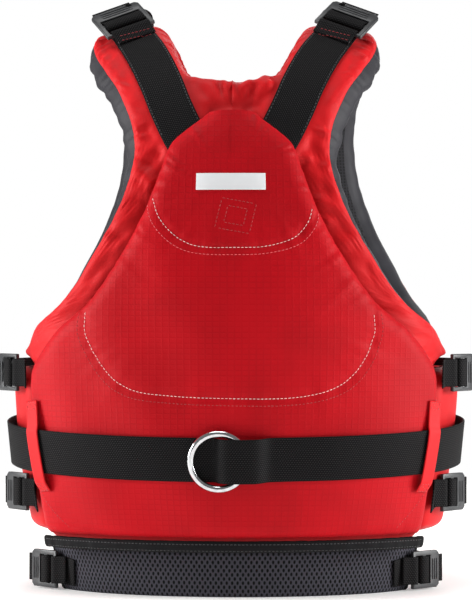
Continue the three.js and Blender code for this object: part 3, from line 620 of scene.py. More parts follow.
# distance out from the torso of a panel's cloth, which rolls down to each seam
def panelOff(phi, g, which):
    full, side = panelShape["full"], np.sign(np.sin(phi) + 1e-9)[..., None]
    base = onSkin(phi, g, full * thinningAt(phi, g))
    half = np.concatenate([base[..., :1] * side, base[..., 1:]], -1)
    off, near = np.full(phi.shape, full), {}
    for seam in ("arm", "neck", "hem", "crest"):
        near[seam] = nearestOn(half, seams[which][seam])
        drop = full - panelShape[seam + "Seam"]
        off = off - drop * (1 - quarterRound(near[seam][0], panelShape[seam + "Roll"]))
    return np.maximum(off, 5) * thinningAt(phi, g), near, base


# short folds square to a seam, which die away from it
def puckers(near, shape, side, seed):
    distance, s = near
    along = side * s + distance * 0.5 * wander(side * s, 75, seed + 2)
    swell = 0.65 + 0.5 * wander(side * s, 70, seed + 1)
    reach = shape["puckerReach"] * (0.9 + 0.6 * wander(along, 2.5 * shape["puckerPeriod"], seed + 3))
    fade = np.exp(-np.maximum(distance - 3, 0) / np.maximum(reach, 4)) * np.clip(distance / 4, 0, 1)
    valleys = np.sqrt(wander(along, 2 * shape["puckerPeriod"], seed) ** 2 + 0.01) - 0.55
    return 2 * shape["puckerHeight"] * swell * fade * valleys


# long soft folds: each from one place to another as degrees and girth line, with its depth and half width
def makeFolds():
    rng = np.random.default_rng(29)
    folds = [(0, 425, -3.5, 452, 3.2, 4.5), (0.5, 425, 4.5, 453, 3.0, 4.0), (1, 424, 11, 446, 2.4, 4.5),
             (-1, 424, -11, 447, 2.6, 4.5), (2, 423, 15, 436, 1.8, 4), (-2, 423, -15, 437, 1.8, 4)]
    bodyDegrees, bodyGirth = np.array(outlines["bodyOuter"], float).T
    armDegrees, armGirth = np.array(outlines["backOuter"], float).T
    for side in (1, -1):
        count = panelShape["dragFolds"]
        for g in np.linspace(222, 452, count) + rng.uniform(-5, 5, count):
            slant, depth = rng.uniform(2, 26), panelShape["dragDepth"] * rng.uniform(0.45, 1.2)
            inner = np.interp(min(g, 418), bodyGirth[3:], bodyDegrees[3:]) + rng.uniform(0, 4)
            outer = np.interp(g - slant, armGirth[4:], armDegrees[4:]) - rng.uniform(0, 3)
            width = panelShape["dragWidth"] * rng.uniform(0.7, 1.3)
            folds.append((side * inner, g, side * outer, g - slant, depth, width))
    return folds


# valley along each fold, narrowing and fading to its ends, with a low swell on both sides
def foldDepth(phi, g):
    total = np.zeros(phi.shape)
    place = np.stack([phi * 165, g], -1)
    for fromDegrees, fromG, toDegrees, toG, depth, width in foldLines:
        a, b = (np.array([math.radians(d) * 165, h]) for d, h in ((fromDegrees, fromG), (toDegrees, toG)))
        t = ((place - a) @ (b - a)) / ((b - a) @ (b - a))
        bow = 0.07 * np.linalg.norm(b - a) * np.sin(math.pi * np.clip(t, 0, 1))
        across = np.cross(b - a, place - a) / np.linalg.norm(b - a) + bow
        fade = np.clip(np.sin(math.pi * np.clip(t * 0.86 + 0.1, 0, 1)), 0, 1) * (t > -0.12) * (t < 1.04)
        r = np.abs(across) / width
        total += depth * fade * (0.38 * np.exp(-((r - 1.5) / 0.8) ** 2) - np.exp(-r ** 1.4))
    return total


foldLines = makeFolds()
strapLines = []   # middles of the left shoulder's webbing, which the yoke's folds keep clear of


def clearOfStraps(base, side):
    share = np.ones(base.shape[:-1])
    for line in strapLines:
        near, _ = nearestOn(mirrored(base, side), line)
        share = share * eased((near - 21) / 8)
    return share


def yokeOff(phi, g, side, which="back"):
    off, near, base = panelOff(phi, g, which)
    folds = puckers(near["arm"], panelShape, side, 11) + 1.5 * puckers(near["neck"], panelShape, side, 23)
    soft = panelShape["driftHeight"] * drift(base, panelShape["driftPeriod"], 5)
    calm = np.clip(near["hem"][0] / 20, 0, 1) * np.clip(near["crest"][0] / 12, 0, 1)
    if which == "back":
        edgeNear = nearestOn(mirrored(base, side), seams["body"])
        folds = folds + 1.6 * puckers(edgeNear, panelShape, side, 37) * eased((g - 235) / 90)
        crease = np.exp(-edgeNear[0] / panelShape["creaseReach"]) * eased((g - 200) / 60)
        soft = soft - panelShape["creaseDepth"] * crease + foldDepth(phi, g)
    folds = (folds + soft * np.clip(near["arm"][0] / 12, 0, 1)) * calm
    return off + folds * clearOfStraps(base, side) * thinningAt(phi, g)


# lines of sewing on the pod as degrees from the middle and girth line
sewing = {
    "upperArc": [(20, 349), (17.5, 330), (13, 315), (8, 308), (-0.5, 307), (-8.5, 308), (-15.5, 315),
                 (-19, 327), (-20.5, 341)],
    "upperArcOutside": [(22, 347), (19.5, 327), (14.5, 310), (9, 302.5), (-0.5, 301), (-9.5, 302.5),
                        (-17, 310), (-21, 324), (-22.5, 339)],
    "lowerArc": [(38, 254), (37.5, 233), (31.5, 202), (25, 188), (15.5, 183), (-0.5, 181), (-17, 182),
                 (-27, 191), (-32.5, 207), (-36.5, 233), (-36.5, 253)],
    "lowerArcOutside": [(40.3, 254), (39.8, 231), (33.6, 198), (26.5, 182.5), (16, 177), (-0.5, 175),
                        (-17.5, 176), (-28.5, 185.5), (-34.6, 203), (-38.8, 232), (-38.8, 253)],
    "dart": [(59, 104), (55, 88), (48, 67)],
    "diamond": (-1.2, 333, 12.5, 12), "sideRows": (66, 113.5), "loopEnds": ((99.5, 106), (169, 175)),
}


# a line through places given as degrees round and girth line, held outside the cloth
def skinLine(knots, off=60, step=1.0):
    k = np.array(knots, float)
    chord = np.concatenate([[0], np.cumsum(np.hypot(np.diff(k[:, 0]) * 2.9, np.diff(k[:, 1])))])
    at = smoothCurve(chord, k)(np.linspace(0, chord[-1], int(chord[-1] / step)))
    phi, g = np.radians(at[:, 0]), at[:, 1]
    return onSkin(phi, g, np.full(phi.shape, float(off))), outwardAt(phi, g)


bodyArcs = [skinLine(sewing[key], panelShape["full"])[0] for key in ("upperArc", "lowerArc")]

# the body panel's cloth lies on the yoke at its own seam and swells over its foam
def bodyOff(phi, g, side):
    off, near, base = panelOff(phi, g, "back")
    edge = nearestOn(mirrored(base, side), seams["body"])
    hem = nearestOn(mirrored(base, side), seams["bodyHem"])
    rise = quarterRound(edge[0], bodyShape["roll"]) * quarterRound(hem[0], bodyShape["roll"] * 0.8)
    folds = puckers(edge, bodyShape, side, 41) * (0.5 + eased((g - 210) / 60))
    folds = folds + 0.6 * puckers(hem, bodyShape, side, 43)
    soft = bodyShape["driftHeight"] * drift(base, bodyShape["driftPeriod"], 7)
    for arc in bodyArcs:
        near, s = nearestOn(base, arc)
        soft = soft - bodyShape["arcDepth"] * np.exp(-(near / 2.6) ** 2) * (1 + 0.5 * wander(s, 18, 83))
        soft = soft + 0.7 * np.exp(-near / 14) * wander(s, 26, 85)
    folds = (folds + soft * np.clip(edge[0] / 25, 0, 1)) * np.clip(hem[0] / 6, 0, 1)
    return off + 0.4 + bodyShape["rise"] * rise + folds


bodyAngle, bodyG = halfPanel("body", 8, 10)
bodyBase = onSkin(bodyAngle, bodyG, panelShape["full"] * thinningAt(bodyAngle, bodyG))
seams["body"], seams["bodyHem"] = bodyBase[:, -1], bodyBase[0]


# cloth coordinates of a panel: across is the angle times the mean half width, up is the girth line
def clothOf(phi, g, which):
    across = phi if which != "front" else (np.where(phi > 0, math.pi - phi, -math.pi - phi))
    return np.stack([across * 150, g], -1)


# both halves of a panel as one welded sheet
def sheetOf(halves, offOf, which):
    points, faces, uv, start = [], [], [], 0
    for phi, g, side, _ in halves:
        p = onSkin(phi, g, offOf(phi, g, side))
        p[np.abs(np.sin(phi)) < 1e-9, 0] = 0
        rows, columns = phi.shape
        points.append(p.reshape(-1, 3))
        uv.append(clothOf(phi, g, which).reshape(-1, 2))
        faces.append(gridFaces(rows, columns, start, flip=(side > 0) == (which != "front")))
        start += rows * columns
    return weld(np.concatenate(points), faces, np.concatenate(uv))


# closed pad between two distances out, thinning to a rounded edge where the rounds of both faces meet
def padOf(halves, low, high, roll, which, shell, edge=0.5):
    points, faces, uv, start = [], [], [], 0
    for phi, g, side, _ in halves:
        thin = thinningAt(phi, g)
        base = onSkin(phi, g, (low + high) / 2 * thin)
        opened = np.abs(np.sin(phi[:, 0])) > 1e-9
        lines = [base[0], base[-1], base[:, -1]] + ([base[opened, 0]] if np.any(opened) else [])
        fill = np.prod([quarterRound(nearestOn(base, line)[0], roll) for line in lines], axis=0)
        middle = low + (high - low) * edge
        top = np.minimum((middle + (high - middle) * fill) * thin, shell(phi, g, side) - 5.5)
        under = np.minimum((middle - (middle - low) * fill) * thin, top - 0.02 * fill)
        rows, columns = phi.shape
        for off, outer in ((top, True), (under, False)):
            p = onSkin(phi, g, off)
            p[np.abs(np.sin(phi)) < 1e-9, 0] = 0
            points.append(p.reshape(-1, 3))
            uv.append(clothOf(phi, g, which).reshape(-1, 2))
            turned = (side > 0) == (which != "front")
            faces.append(gridFaces(rows, columns, start, flip=turned == outer))
            start += rows * columns
    return weld(np.concatenate(points), faces, np.concatenate(uv))


# facing between the cloth's seam and the lining: straight across with a half sine of fullness
def facingOf(edge, inside, lining, fullness, share, creases=0.0, seed=0, steps=8):
    away = unit(edge - inside)
    out = unit(edge - lining)
    away = unit(away - (away * out).sum(-1, keepdims=True) * out)
    t = np.linspace(0, 1, steps + 1)[None, :, None]
    length = np.concatenate([[0], np.cumsum(np.linalg.norm(np.diff(edge, axis=0), axis=1))])
    ends = np.clip(np.minimum(length / 40, (length[-1] - length) / 90), 0.2, 1)
    full = (fullness * share * ends * (1 + creases * wander(length, 40, seed)))[:, None, None]
    grid = edge[:, None] * (1 - t) + lining[:, None] * t + away[:, None] * full * np.sin(math.pi * t) ** 0.8
    uv = np.stack(np.broadcast_arrays(length[:, None], t[..., 0] * 28), -1)
    return grid, uv


def writeFacings(name, which, parts, material, stands=()):
    points, faces, uv, start = [], [], [], 0
    for side in (1, -1):
        angle, g = halfPanel(which, panelShape["rowsPerKnot"], panelShape["columns"])
        phi = side * (math.pi - angle if which == "front" else angle)
        opened = angle[:, 0] > 0
        opened[:-1] |= opened[1:]
        picks = {"arm": (np.s_[:, -1], np.s_[:, -4]), "crest": (np.s_[-1, :], np.s_[-4, :]),
                 "hem": (np.s_[0, :], np.s_[3, :]), "neck": (np.s_[opened, 0], np.s_[opened, 3])}
        for part, fullness, creases in parts:
            at, inward = picks[part]
            edge = onSkin(phi[at], g[at], yokeOff(phi[at], g[at], side, which))
            inside = onSkin(phi[inward], g[inward], yokeOff(phi[at], g[at], side, which))
            lining = onSkin(phi[at], g[at], np.full(phi[at].shape, 0.8))
            share = 0.12 + 0.88 * eased((g[at] - 212) / 35) if part == "arm" else np.ones(len(edge))
            grid, cloth = facingOf(edge, inside, lining, fullness, share, creases=creases, seed=17)
            if abs(edge[0, 0]) < 1e-6:
                grid[0, :, 0] = 0
            rows, columns = grid.shape[:2]
            m = rows // 2
            normal = np.cross(grid[m, 4] - grid[m, 3], grid[m + 1, 3] - grid[m, 3])
            faces.append(gridFaces(rows, columns, start, flip=bool(np.dot(normal, (edge - inside)[m]) < 0)))
            points.append(grid.reshape(-1, 3))
            uv.append(cloth.reshape(-1, 2))
            start += rows * columns
    obj = writeMesh(name, *weld(np.concatenate(points), faces, np.concatenate(uv)))
    return finishPiece(obj, material, stands=stands)


def halvesOf(which, shape):
    return sidesOf(which, shape["rowsPerKnot"], shape["columns"])


def makePanels():
    back, front = halvesOf("back", panelShape), halvesOf("front", panelShape)
    body = halvesOf("body", bodyShape)
    yoke = writeMesh("yokeCloth", *sheetOf(back, yokeOff, "back"))
    finishPiece(yoke, cloths["redNylon"], stands=["yoke_shell"], levels=1)
    cover = writeMesh("bodyCloth", *sheetOf(body, bodyOff, "back"))
    finishPiece(cover, cloths["ripstop"], stands=["back_body_shell"], levels=1)
    frontOff = lambda phi, g, side: yokeOff(phi, g, side, "front")
    chest = writeMesh("frontCloth", *sheetOf(front, frontOff, "front"))
    finishPiece(chest, cloths["redNylon"], stands=["front_shell"], levels=1)
    for which in ("back", "front"):
        arms = [("arm", 13.0 if which == "back" else 5.0, 0.1), ("crest", 2, 0.0)]
        writeFacings(which + "ArmFacing", which, arms, cloths["charcoal"])
        writeFacings(which + "NeckFacing", which, [("neck", 3, 0.3)], cloths["redNylon"])
        writeFacings(which + "HemFacing", which, [("hem", 1, 0.0)], cloths["binding"])
        halves = halvesOf(which, {"rowsPerKnot": 6, "columns": 16})
        liningOff = lambda phi, g, side: np.full(phi.shape, 0.8)
        liner = writeMesh(which + "Lining", *sheetOf(halves, liningOff, which))
        liner.data.flip_normals()
        finishPiece(liner, cloths["liner"], stands=[which + "_liner"])
        shell = lambda phi, g, side: yokeOff(phi, g, side, which)
        for layer, low, high in (("inner", 2.4, 14.0), ("outer", 14.6, 25.8)):
            pad = padOf(halves, low, high, 5, which, shell)
            pad = writeMesh(f"{which}Foam{layer.title()}", *pad)
            finishPiece(pad, cloths["foam"], stands=[f"{which}_foam_{layer}"])
    halves = [(phi * 0.94, 66 + (g - 59) * 0.955, side, angle * 0.94)
              for phi, g, side, angle in halvesOf("body", {"rowsPerKnot": 6, "columns": 16})]
    pad = writeMesh("bodyFoam", *padOf(halves, 30.6, 35.6, 4, "back", bodyOff))
    finishPiece(pad, cloths["foam"], stands=["back_body_foam"])


# rows of a band between two angles that may lean, as angle and girth line, closer near every edge
def bandCells(lowFrom, lowTo, highFrom, highTo, gLow, gHigh, columns, rows):
    s, t = [(1 - np.cos(math.pi * np.linspace(0, 1, n + 1))) / 2 for n in (columns, rows)]
    left, right = lowFrom + (highFrom - lowFrom) * t, lowTo + (highTo - lowTo) * t
    phi = np.radians(left[:, None] + (right - left)[:, None] * s[None])
    return phi, np.broadcast_to((gLow + (gHigh - gLow) * t)[:, None], phi.shape).copy()


def bandOf(cells, low, high, roll, edge=0.5, folds=None, floor=None):
    phi, g = cells
    points, faces, uv = [], [], []
    base = onSkin(phi, g, np.full(phi.shape, (low + high) / 2))
    lines = (base[0], base[-1], base[:, 0], base[:, -1])
    near = [nearestOn(base, line) for line in lines]
    fill = np.prod([quarterRound(n[0], roll) for n in near], axis=0)
    middle = low + (high - low) * edge
    extra = folds(near, phi, g) * fill if folds else 0
    rows, columns = phi.shape
    top, under = middle + (high - middle) * fill + extra, middle - (middle - low) * fill
    for i, (off, outer) in enumerate(((top, True), (under, False))):
        p = onSkin(phi, g, off)
        if floor is not None:
            p[..., 2] = np.maximum(p[..., 2], floor)
        points.append(p.reshape(-1, 3))
        uv.append(np.stack([phi * 150, g], -1).reshape(-1, 2))
        faces.append(gridFaces(rows, columns, i * rows * columns, flip=outer))
    return weld(np.concatenate(points), faces, np.concatenate(uv))


bandShape = {
    "flap": (3, 14, 5), "sideLow": 0.4, "sideHigh": 24, "sideRoll": 13, "binding": (30.4, 36.6, 3.0),
    "flapCells": (-69, 69, -73, 73, 0, 45, 110, 16), "waistCells": (118, 242, 113, 247, 0, 45, 110, 16),
    "bindingCells": (-61.6, 61.6, -61.6, 61.6, 46.5, 57, 150, 10),
    "sideCells": (63.5, 116.5, 63.5, 116.5, 56, 203, 40, 50),
}


def makeBands():
    bands = (("lumbarFlap", "lumbar_flap", "flapCells"), ("frontWaistband", "front_waistband", "waistCells"))
    for name, node, key in bands:
        band = writeMesh(name, *bandOf(bandCells(*bandShape[key]), *bandShape["flap"], edge=0.3, floor=0))
        finishPiece(band, cloths["mesh"], stands=[node])

    def hemFolds(near, phi, g):
        return 0.35 * wander(phi * 150, 16, 61)

    cells = bandCells(*bandShape["bindingCells"])
    hem = writeMesh("hemBinding", *bandOf(cells, *bandShape["binding"], folds=hemFolds))
    finishPiece(hem, cloths["binding"], stands=["back_hem_binding"], levels=1)

    def sideFolds(near, phi, g):
        gather = np.exp(-near[2][0] / 14) * wander(g, 9, 71) + np.exp(-near[3][0] / 14) * wander(g, 9, 73)
        return 0.9 * gather + 0.8 * drift(onSkin(phi, g, 20 + 0 * g), 80, 9)

    for side, hand in ((1, "left"), (-1, "right")):
        phi, g = bandCells(*bandShape["sideCells"])
        cells = (phi, g) if side > 0 else (-phi[:, ::-1], g)
        limits = (bandShape["sideLow"], bandShape["sideHigh"], bandShape["sideRoll"])
        pad = writeMesh(f"sidePanel{hand.title()}", *bandOf(cells, *limits, edge=0.35, folds=sideFolds))
        stands = [f"side_shell_{hand}", f"side_foam_{hand}"]
        finishPiece(pad, cloths["redNylon"], stands=stands, levels=1)

    # black tape folded round the slanted ends of both bands and the free top of the front one
    edges = (("flapTapeLeft", (65.2, 69.7, 69.2, 73.7, 0, 45.6, 10, 16)),
             ("flapTapeRight", (-69.7, -65.2, -73.7, -69.2, 0, 45.6, 10, 16)),
             ("waistTapeLeft", (117.3, 121.8, 112.3, 116.8, 0, 45.6, 10, 16)),
             ("waistTapeRight", (238.2, 242.7, 243.2, 247.7, 0, 45.6, 10, 16)),
             ("waistTapeTop", (113, 247, 112.4, 247.6, 37.5, 45.8, 150, 8)))
    for name, limits in edges:
        low, high, roll = bandShape["flap"]
        shape = bandOf(bandCells(*limits), low - 0.7, high + 0.7, roll * 0.8, edge=0.3, floor=0)
        tape = writeMesh(name, *shape)
        finishPiece(tape, cloths["binding"])


# flat-webbing section: two straight faces joined by half rounds, as [across, out]
def ribbonSection(width, thick, flats=7, rounds=4):
    a, b = width / 2, thick / 2
    x = np.linspace(a - b, b - a, flats)
    turnA = np.linspace(math.pi / 2, 3 * math.pi / 2, rounds + 2)[1:-1]
    left = np.stack([b - a + b * np.cos(turnA), b * np.sin(turnA)], -1)
    top = np.stack([x, np.full(flats, b)], -1)
    return np.concatenate([top, left, -top, -left])


# webbing carried along stations: smooth through their places, section square to the way along
def ribbonOf(p, across, out, width, thick, step=1.6):
    p, across, out = (np.array(v, float) for v in (p, across, out))
    length = np.concatenate([[0], np.cumsum(np.linalg.norm(np.diff(p, axis=0), axis=1))])
    s = np.linspace(0, length[-1], max(int(length[-1] / step), 3))
    path, w, o = (smoothCurve(length, v)(s) for v in (p, across, out))
    ahead = unit(np.gradient(path, axis=0))
    w = unit(w - (w * ahead).sum(-1, keepdims=True) * ahead)
    normal = np.cross(w, ahead)
    normal = normal * np.sign((normal * o).sum(-1, keepdims=True))
    section = ribbonSection(width, thick)
    grid = path[:, None] + w[:, None] * section[None, :, :1] + normal[:, None] * section[None, :, 1:]
    uv = np.stack(np.broadcast_arrays(section[None, :, 0], s[:, None]), -1)
    rows, columns = grid.shape[:2]
    m = rows // 2
    face = np.cross(grid[m, 4] - grid[m, 3], grid[m + 1, 3] - grid[m, 3])
    flip = bool(np.dot(face, normal[m]) < 0)
    start = np.arange(columns)[None]
    finish = start + (rows - 1) * columns
    first, last = (start[:, ::-1], finish) if not flip else (start, finish[:, ::-1])
    faces = [gridFaces(rows, columns, closed=True, flip=flip), first, last]
    return (grid.reshape(-1, 3), faces, uv.reshape(-1, 2)), (path, w, normal, s)


def writeRibbon(name, stations, width, thick, material, body, stands):
    p, across, out = zip(*stations)
    mesh, line = ribbonOf(p, across, out, width, thick)
    finishPiece(writeMesh(name, *mesh), material, body=body, stands=stands)
    return line


# stations of a path in a plane: seat gives its origin, its way along, its way out and its way across
def planeStations(seat, path):
    path = np.array(path, float)
    before = np.concatenate([[[0, 0]], unit(np.diff(path, axis=0))])
    after = np.concatenate([unit(np.diff(path, axis=0)), [[0, 0]]])
    way = unit(before + after)
    place = seat["p"] + path[:, :1] * seat["along"] + path[:, 1:] * seat["out"]
    out = way[:, :1] * seat["out"] - way[:, 1:] * seat["along"]
    return [(p, seat["across"], o) for p, o in zip(place, out)]


def roundStation(degrees, g, off, sign):
    phi = math.radians(degrees)
    return onSkin(phi, g, off), upAt(phi, g) * sign, outwardAt(phi, g)


lockShape = {
    "slotOne": 10.3, "gripEnd": 15.3, "end": 32.0, "bevel": 0.9,
    "ridgeHeight": 0.9, "ridges": (23.6, 26.4, 29.2),
}
loopPath = [(-13, -1.5), (-5, 1.4), (-2.6, 2.7), (0, 3.5), (2.6, 2.5), (3.6, 0), (2.6, -2.6), (0, -3.7),
            (-5, -4)]
webbingSizes = {
    "side": 25, "shoulder": 38, "belt": 39, "thick": 1.4, "beltThick": 1.8, "loop": 15, "loopThick": 1.6,
}


# the adjusting end: in under the lock, up the first slot, over the grip bar and down the second
def endPath(stretch, tail):
    inside = lockShape["slotOne"] * stretch - 3.4
    grip, far = lockShape["gripEnd"] * stretch, lockShape["end"] * stretch
    return [(far + 2, -5.4), (inside + 4, -5.4), (inside + 0.8, -4.2), (inside, -1), (inside + 0.9, 1.8),
            (inside + 3.2, 3.2), (grip, 3.2), (grip + 2.2, 2), (grip + 3, -0.6), (grip + 4.2, -2.8),
            (grip + 6, -3), (far + tail, -3)]


# a copy of a hard CAD solid with its corners merged, its flats joined and its edges rounded
def roundedCopy(name, node, width, material, body, segments=2, angle=30):
    mesh = frame["nodes"][node].data.copy()
    mesh.name = name
    mesh.materials.clear()
    shape = bmesh.new()
    shape.from_mesh(mesh)
    bmesh.ops.remove_doubles(shape, verts=shape.verts, dist=0.02 * metre)
    bmesh.ops.dissolve_limit(shape, angle_limit=math.radians(3), verts=shape.verts, edges=shape.edges)
    sharp = [e for e in shape.edges if len(e.link_faces) == 2 and e.calc_face_angle() > math.radians(angle)]
    bmesh.ops.bevel(shape, geom=sharp, offset=width * metre, segments=segments, profile=0.5,
                    affect="EDGES", clamp_overlap=True)
    bmesh.ops.triangulate(shape, faces=[f for f in shape.faces if len(f.verts) > 4])
    for face in shape.faces:
        face.smooth = True
    shape.to_mesh(mesh)
    shape.free()
    mesh.set_sharp_from_angle(angle=math.radians(50))
    obj = bpy.data.objects.new(name, mesh)
    scene.collection.objects.link(obj)
    return finishPiece(obj, material, body=body, stands=[node])


# finger ridges across a lock's lip: half-round bars with domed ends
def lockRidges(name, seat, half, stretch, body):
    around, along = np.linspace(0, 2 * math.pi, 11)[:-1], np.linspace(-1, 1, 13)
    points, faces, uv = [], [], []
    for i, s in enumerate(lockShape["ridges"]):
        swell = np.sqrt(np.clip(1 - np.abs(along) ** 6, 0, 1)) * lockShape["ridgeHeight"]
        a = s * stretch + swell[:, None] * np.cos(around)
        h = 1.75 + swell[:, None] * np.sin(around)
        grid = (seat["p"] + a[..., None] * seat["along"] + h[..., None] * seat["out"]
                + (along * half)[:, None, None] * seat["across"])
        faces.append(gridFaces(*grid.shape[:2], start=i * grid.shape[0] * grid.shape[1], closed=True))
        points.append(grid.reshape(-1, 3))
        uv.append(np.zeros((len(points[-1]), 2)))
    obj = writeMesh(name, *weld(np.concatenate(points), faces, np.concatenate(uv)))
    finishPiece(obj, cloths["acetal"], body=body)


sideStraps = [
    {"word": "upper", "z": 198, "degrees": 71, "off": 29.6,
     "back": (63.5, 32), "front": (91, 29.5), "rest": 30.5},
    {"word": "lower", "z": 89, "degrees": 71, "off": 31.3,
     "back": (63.5, 33.4), "front": (91, 29.5), "rest": 30.5},
    {"word": "waist", "z": 18.6, "degrees": 66, "off": 21.5,
     "back": (57, 15.8), "front": (88, 14.6), "rest": 15.8},
]


def makeSideStraps():
    wide, thick = webbingSizes["side"], webbingSizes["thick"]
    for strap in sideStraps:
        word, starts = strap["word"], []
        for side, hand in ((1, "left"), (-1, "right")):
            name, body = word.title() + hand.title(), f"side_lock_{word}_{hand}"
            seat = tilted(levelSeat(side, strap["degrees"], strap["z"], strap["off"]), 10)
            p, across, out = roundStation(side * strap["back"][0], strap["z"], strap["back"][1], -side)
            loop = planeStations(seat, loopPath) + [(p, across, -out)]
            writeRibbon("sideLoop" + name, loop, wide, thick, cloths["webbing"], "vest",
                        [f"side_loop_{word}_{hand}"])
            roundedCopy("sideLock" + name, body, lockShape["bevel"], cloths["acetal"], body)
            lockRidges("sideLockRidges" + name, seat, wide / 2 - 1, 1, body)
            writeRibbon("sideStrapEnd" + name, planeStations(seat, endPath(1, 9)), wide, thick,
                        cloths["webbing"], body, [f"side_strap_end_{word}_{hand}"])
            far = lockShape["end"]
            first = planeStations(seat, [(far + 2.5, -5.4), (far + 6, -5.6)])[0]
            second = roundStation(side * strap["front"][0], strap["z"], strap["front"][1], -side)
            starts.append([first, second])
        middle = [roundStation(degrees, strap["z"], strap["rest"], -1) for degrees in range(100, 261, 8)]
        run = starts[0] + middle + [(p, -across, out) for p, across, out in reversed(starts[1])]
        writeRibbon("frontStrap" + word.title(), run, wide, thick, cloths["webbing"], "vest",
                    [f"front_strap_{word}"])


shoulder = {
    "top": (88, 506), "bottom": (41, 409), "off": 30.3, "lockOff": 37, "tilt": 16, "stretch": 1.12, "tail": 7,
    "front": [(92, 541, 42), (91, 518, 36.5), (88, 495, 33.6), (85, 475, 32.4), (82, 455, 31.8),
              (78, 428, 31)],
    "sewn": (0.86, 0.7, 0.52, 0.34, 0.17, 0.0, -0.12, -0.22),
}


# place on the line of the shoulder webbing, t from its lower end to the lock
def shoulderPoint(side, t, off):
    g = shoulder["bottom"][1] + (shoulder["top"][1] - shoulder["bottom"][1]) * t
    x = shoulder["bottom"][0] + (shoulder["top"][0] - shoulder["bottom"][0]) * t
    phi = side * math.asin(x / float(halfWidth(g)))
    return onSkin(phi, g, off), outwardAt(phi, g)


def shoulderAcross(side, t, out):
    return unit(np.cross(out, shoulderPoint(side, t + 0.03, 0)[0] - shoulderPoint(side, t - 0.03, 0)[0]))


def makeShoulders():
    wide, thick, stretch, runs = webbingSizes["shoulder"], webbingSizes["thick"], shoulder["stretch"], {}
    for side, hand in ((1, "left"), (-1, "right")):
        name, body = hand.title(), f"shoulder_lock_{hand}"
        top, out = shoulderPoint(side, 1, shoulder["lockOff"])
        across = shoulderAcross(side, 1, out)
        seat = {"p": top, "along": unit(np.cross(across, out)), "out": out, "across": across}
        seat = tilted(seat, shoulder["tilt"])
        run = planeStations(seat, loopPath)
        for t in shoulder["sewn"]:
            p, outT = shoulderPoint(side, t, shoulder["off"])
            run.append((p, shoulderAcross(side, t, outT), -outT))
        stands = [f"shoulder_webbing_{hand}"]
        line = writeRibbon("shoulderWebbing" + name, run, wide, thick, cloths["webbing"],
                           "vest", stands)
        runs["shoulder" + name] = line[0], line[1], -line[2], line[3]
        roundedCopy("shoulderLock" + name, body, lockShape["bevel"], cloths["acetal"], body)
        lockRidges("shoulderLockRidges" + name, seat, wide / 2 - 1, stretch, body)
        tail = planeStations(seat, endPath(stretch, shoulder["tail"]))
        writeRibbon("shoulderStrapEnd" + name, tail, wide, thick, cloths["webbing"], body,
                    [f"shoulder_strap_end_{hand}"])
        reach = lockShape["end"] * stretch
        run = planeStations(seat, [(reach + 2.5, -5.4), (reach + 6, -5.6)])[:1]
        spots = [(side * (math.pi - math.asin(x / float(halfWidth(g)))), g, off)
                 for x, g, off in shoulder["front"]]
        for i, (phi, g, off) in enumerate(spots):
            after, before = spots[min(i + 1, len(spots) - 1)], spots[max(i - 1, 0)]
            ahead = torsoPoint(after[0], after[1]) - torsoPoint(before[0], before[1])
            out = outwardAt(phi, g)
            run.append((onSkin(phi, g, off), unit(np.cross(out, ahead)), out))
        writeRibbon("shoulderStrapFront" + name, run, wide, thick, cloths["webbing"], "vest",
                    [f"shoulder_strap_front_{hand}"])
    return runs


belt = {
    "middle": 129, "rise": 0.06, "off": ([0, 56, 76, 90, 112, 180], [40.6, 40.6, 34.5, 31, 30.8, 30.8]),
    "weave": [(-44, 0), (-33, 1.6), (-24, 8.4), (-17, 10.2), (-5, 10.4), (4, 9.8), (9, 7), (12, 3.2),
              (15, 0.5), (20, 0)],
    "weaveShrink": 0.86,
    "loops": [(99, 39.2), (103, 41.4), (108, 43.4), (129, 43.8), (150, 43.4), (155, 41.6), (176, 39.2)],
    "loopAngles": (55, 57.5), "ring": (9, 128.5, 45.2), "ringOuter": 55, "ringWire": 6.3,
}
beltOff = smoothCurve(*belt["off"])
beltFront = belt["middle"] + 2 * belt["rise"] * float(backDepth(belt["middle"])) + 4
frontAtBelt = float(frontDepth(beltFront + 25)) + panelShape["full"] + 0.6


def beltStation(degrees, extra=0.0):
    depth = float(backDepth(belt["middle"]))
    y = torsoPoint(math.radians(degrees), belt["middle"])[1]
    g = belt["middle"] + (beltFront - belt["middle"]) * (1 - y / depth) / 2
    return roundStation(degrees, g, float(beltOff(abs(degrees))) + extra, 1)


# a front station is x and the distance out from the front of the shell, with the way out in the level plane
def frontStation(x, e, outX, outE):
    place, out = np.array([x, -(frontAtBelt + e), beltFront]), unit(np.array([outX, -outE, 0.0]))
    return place, np.array([0, 0, 1.0]), out


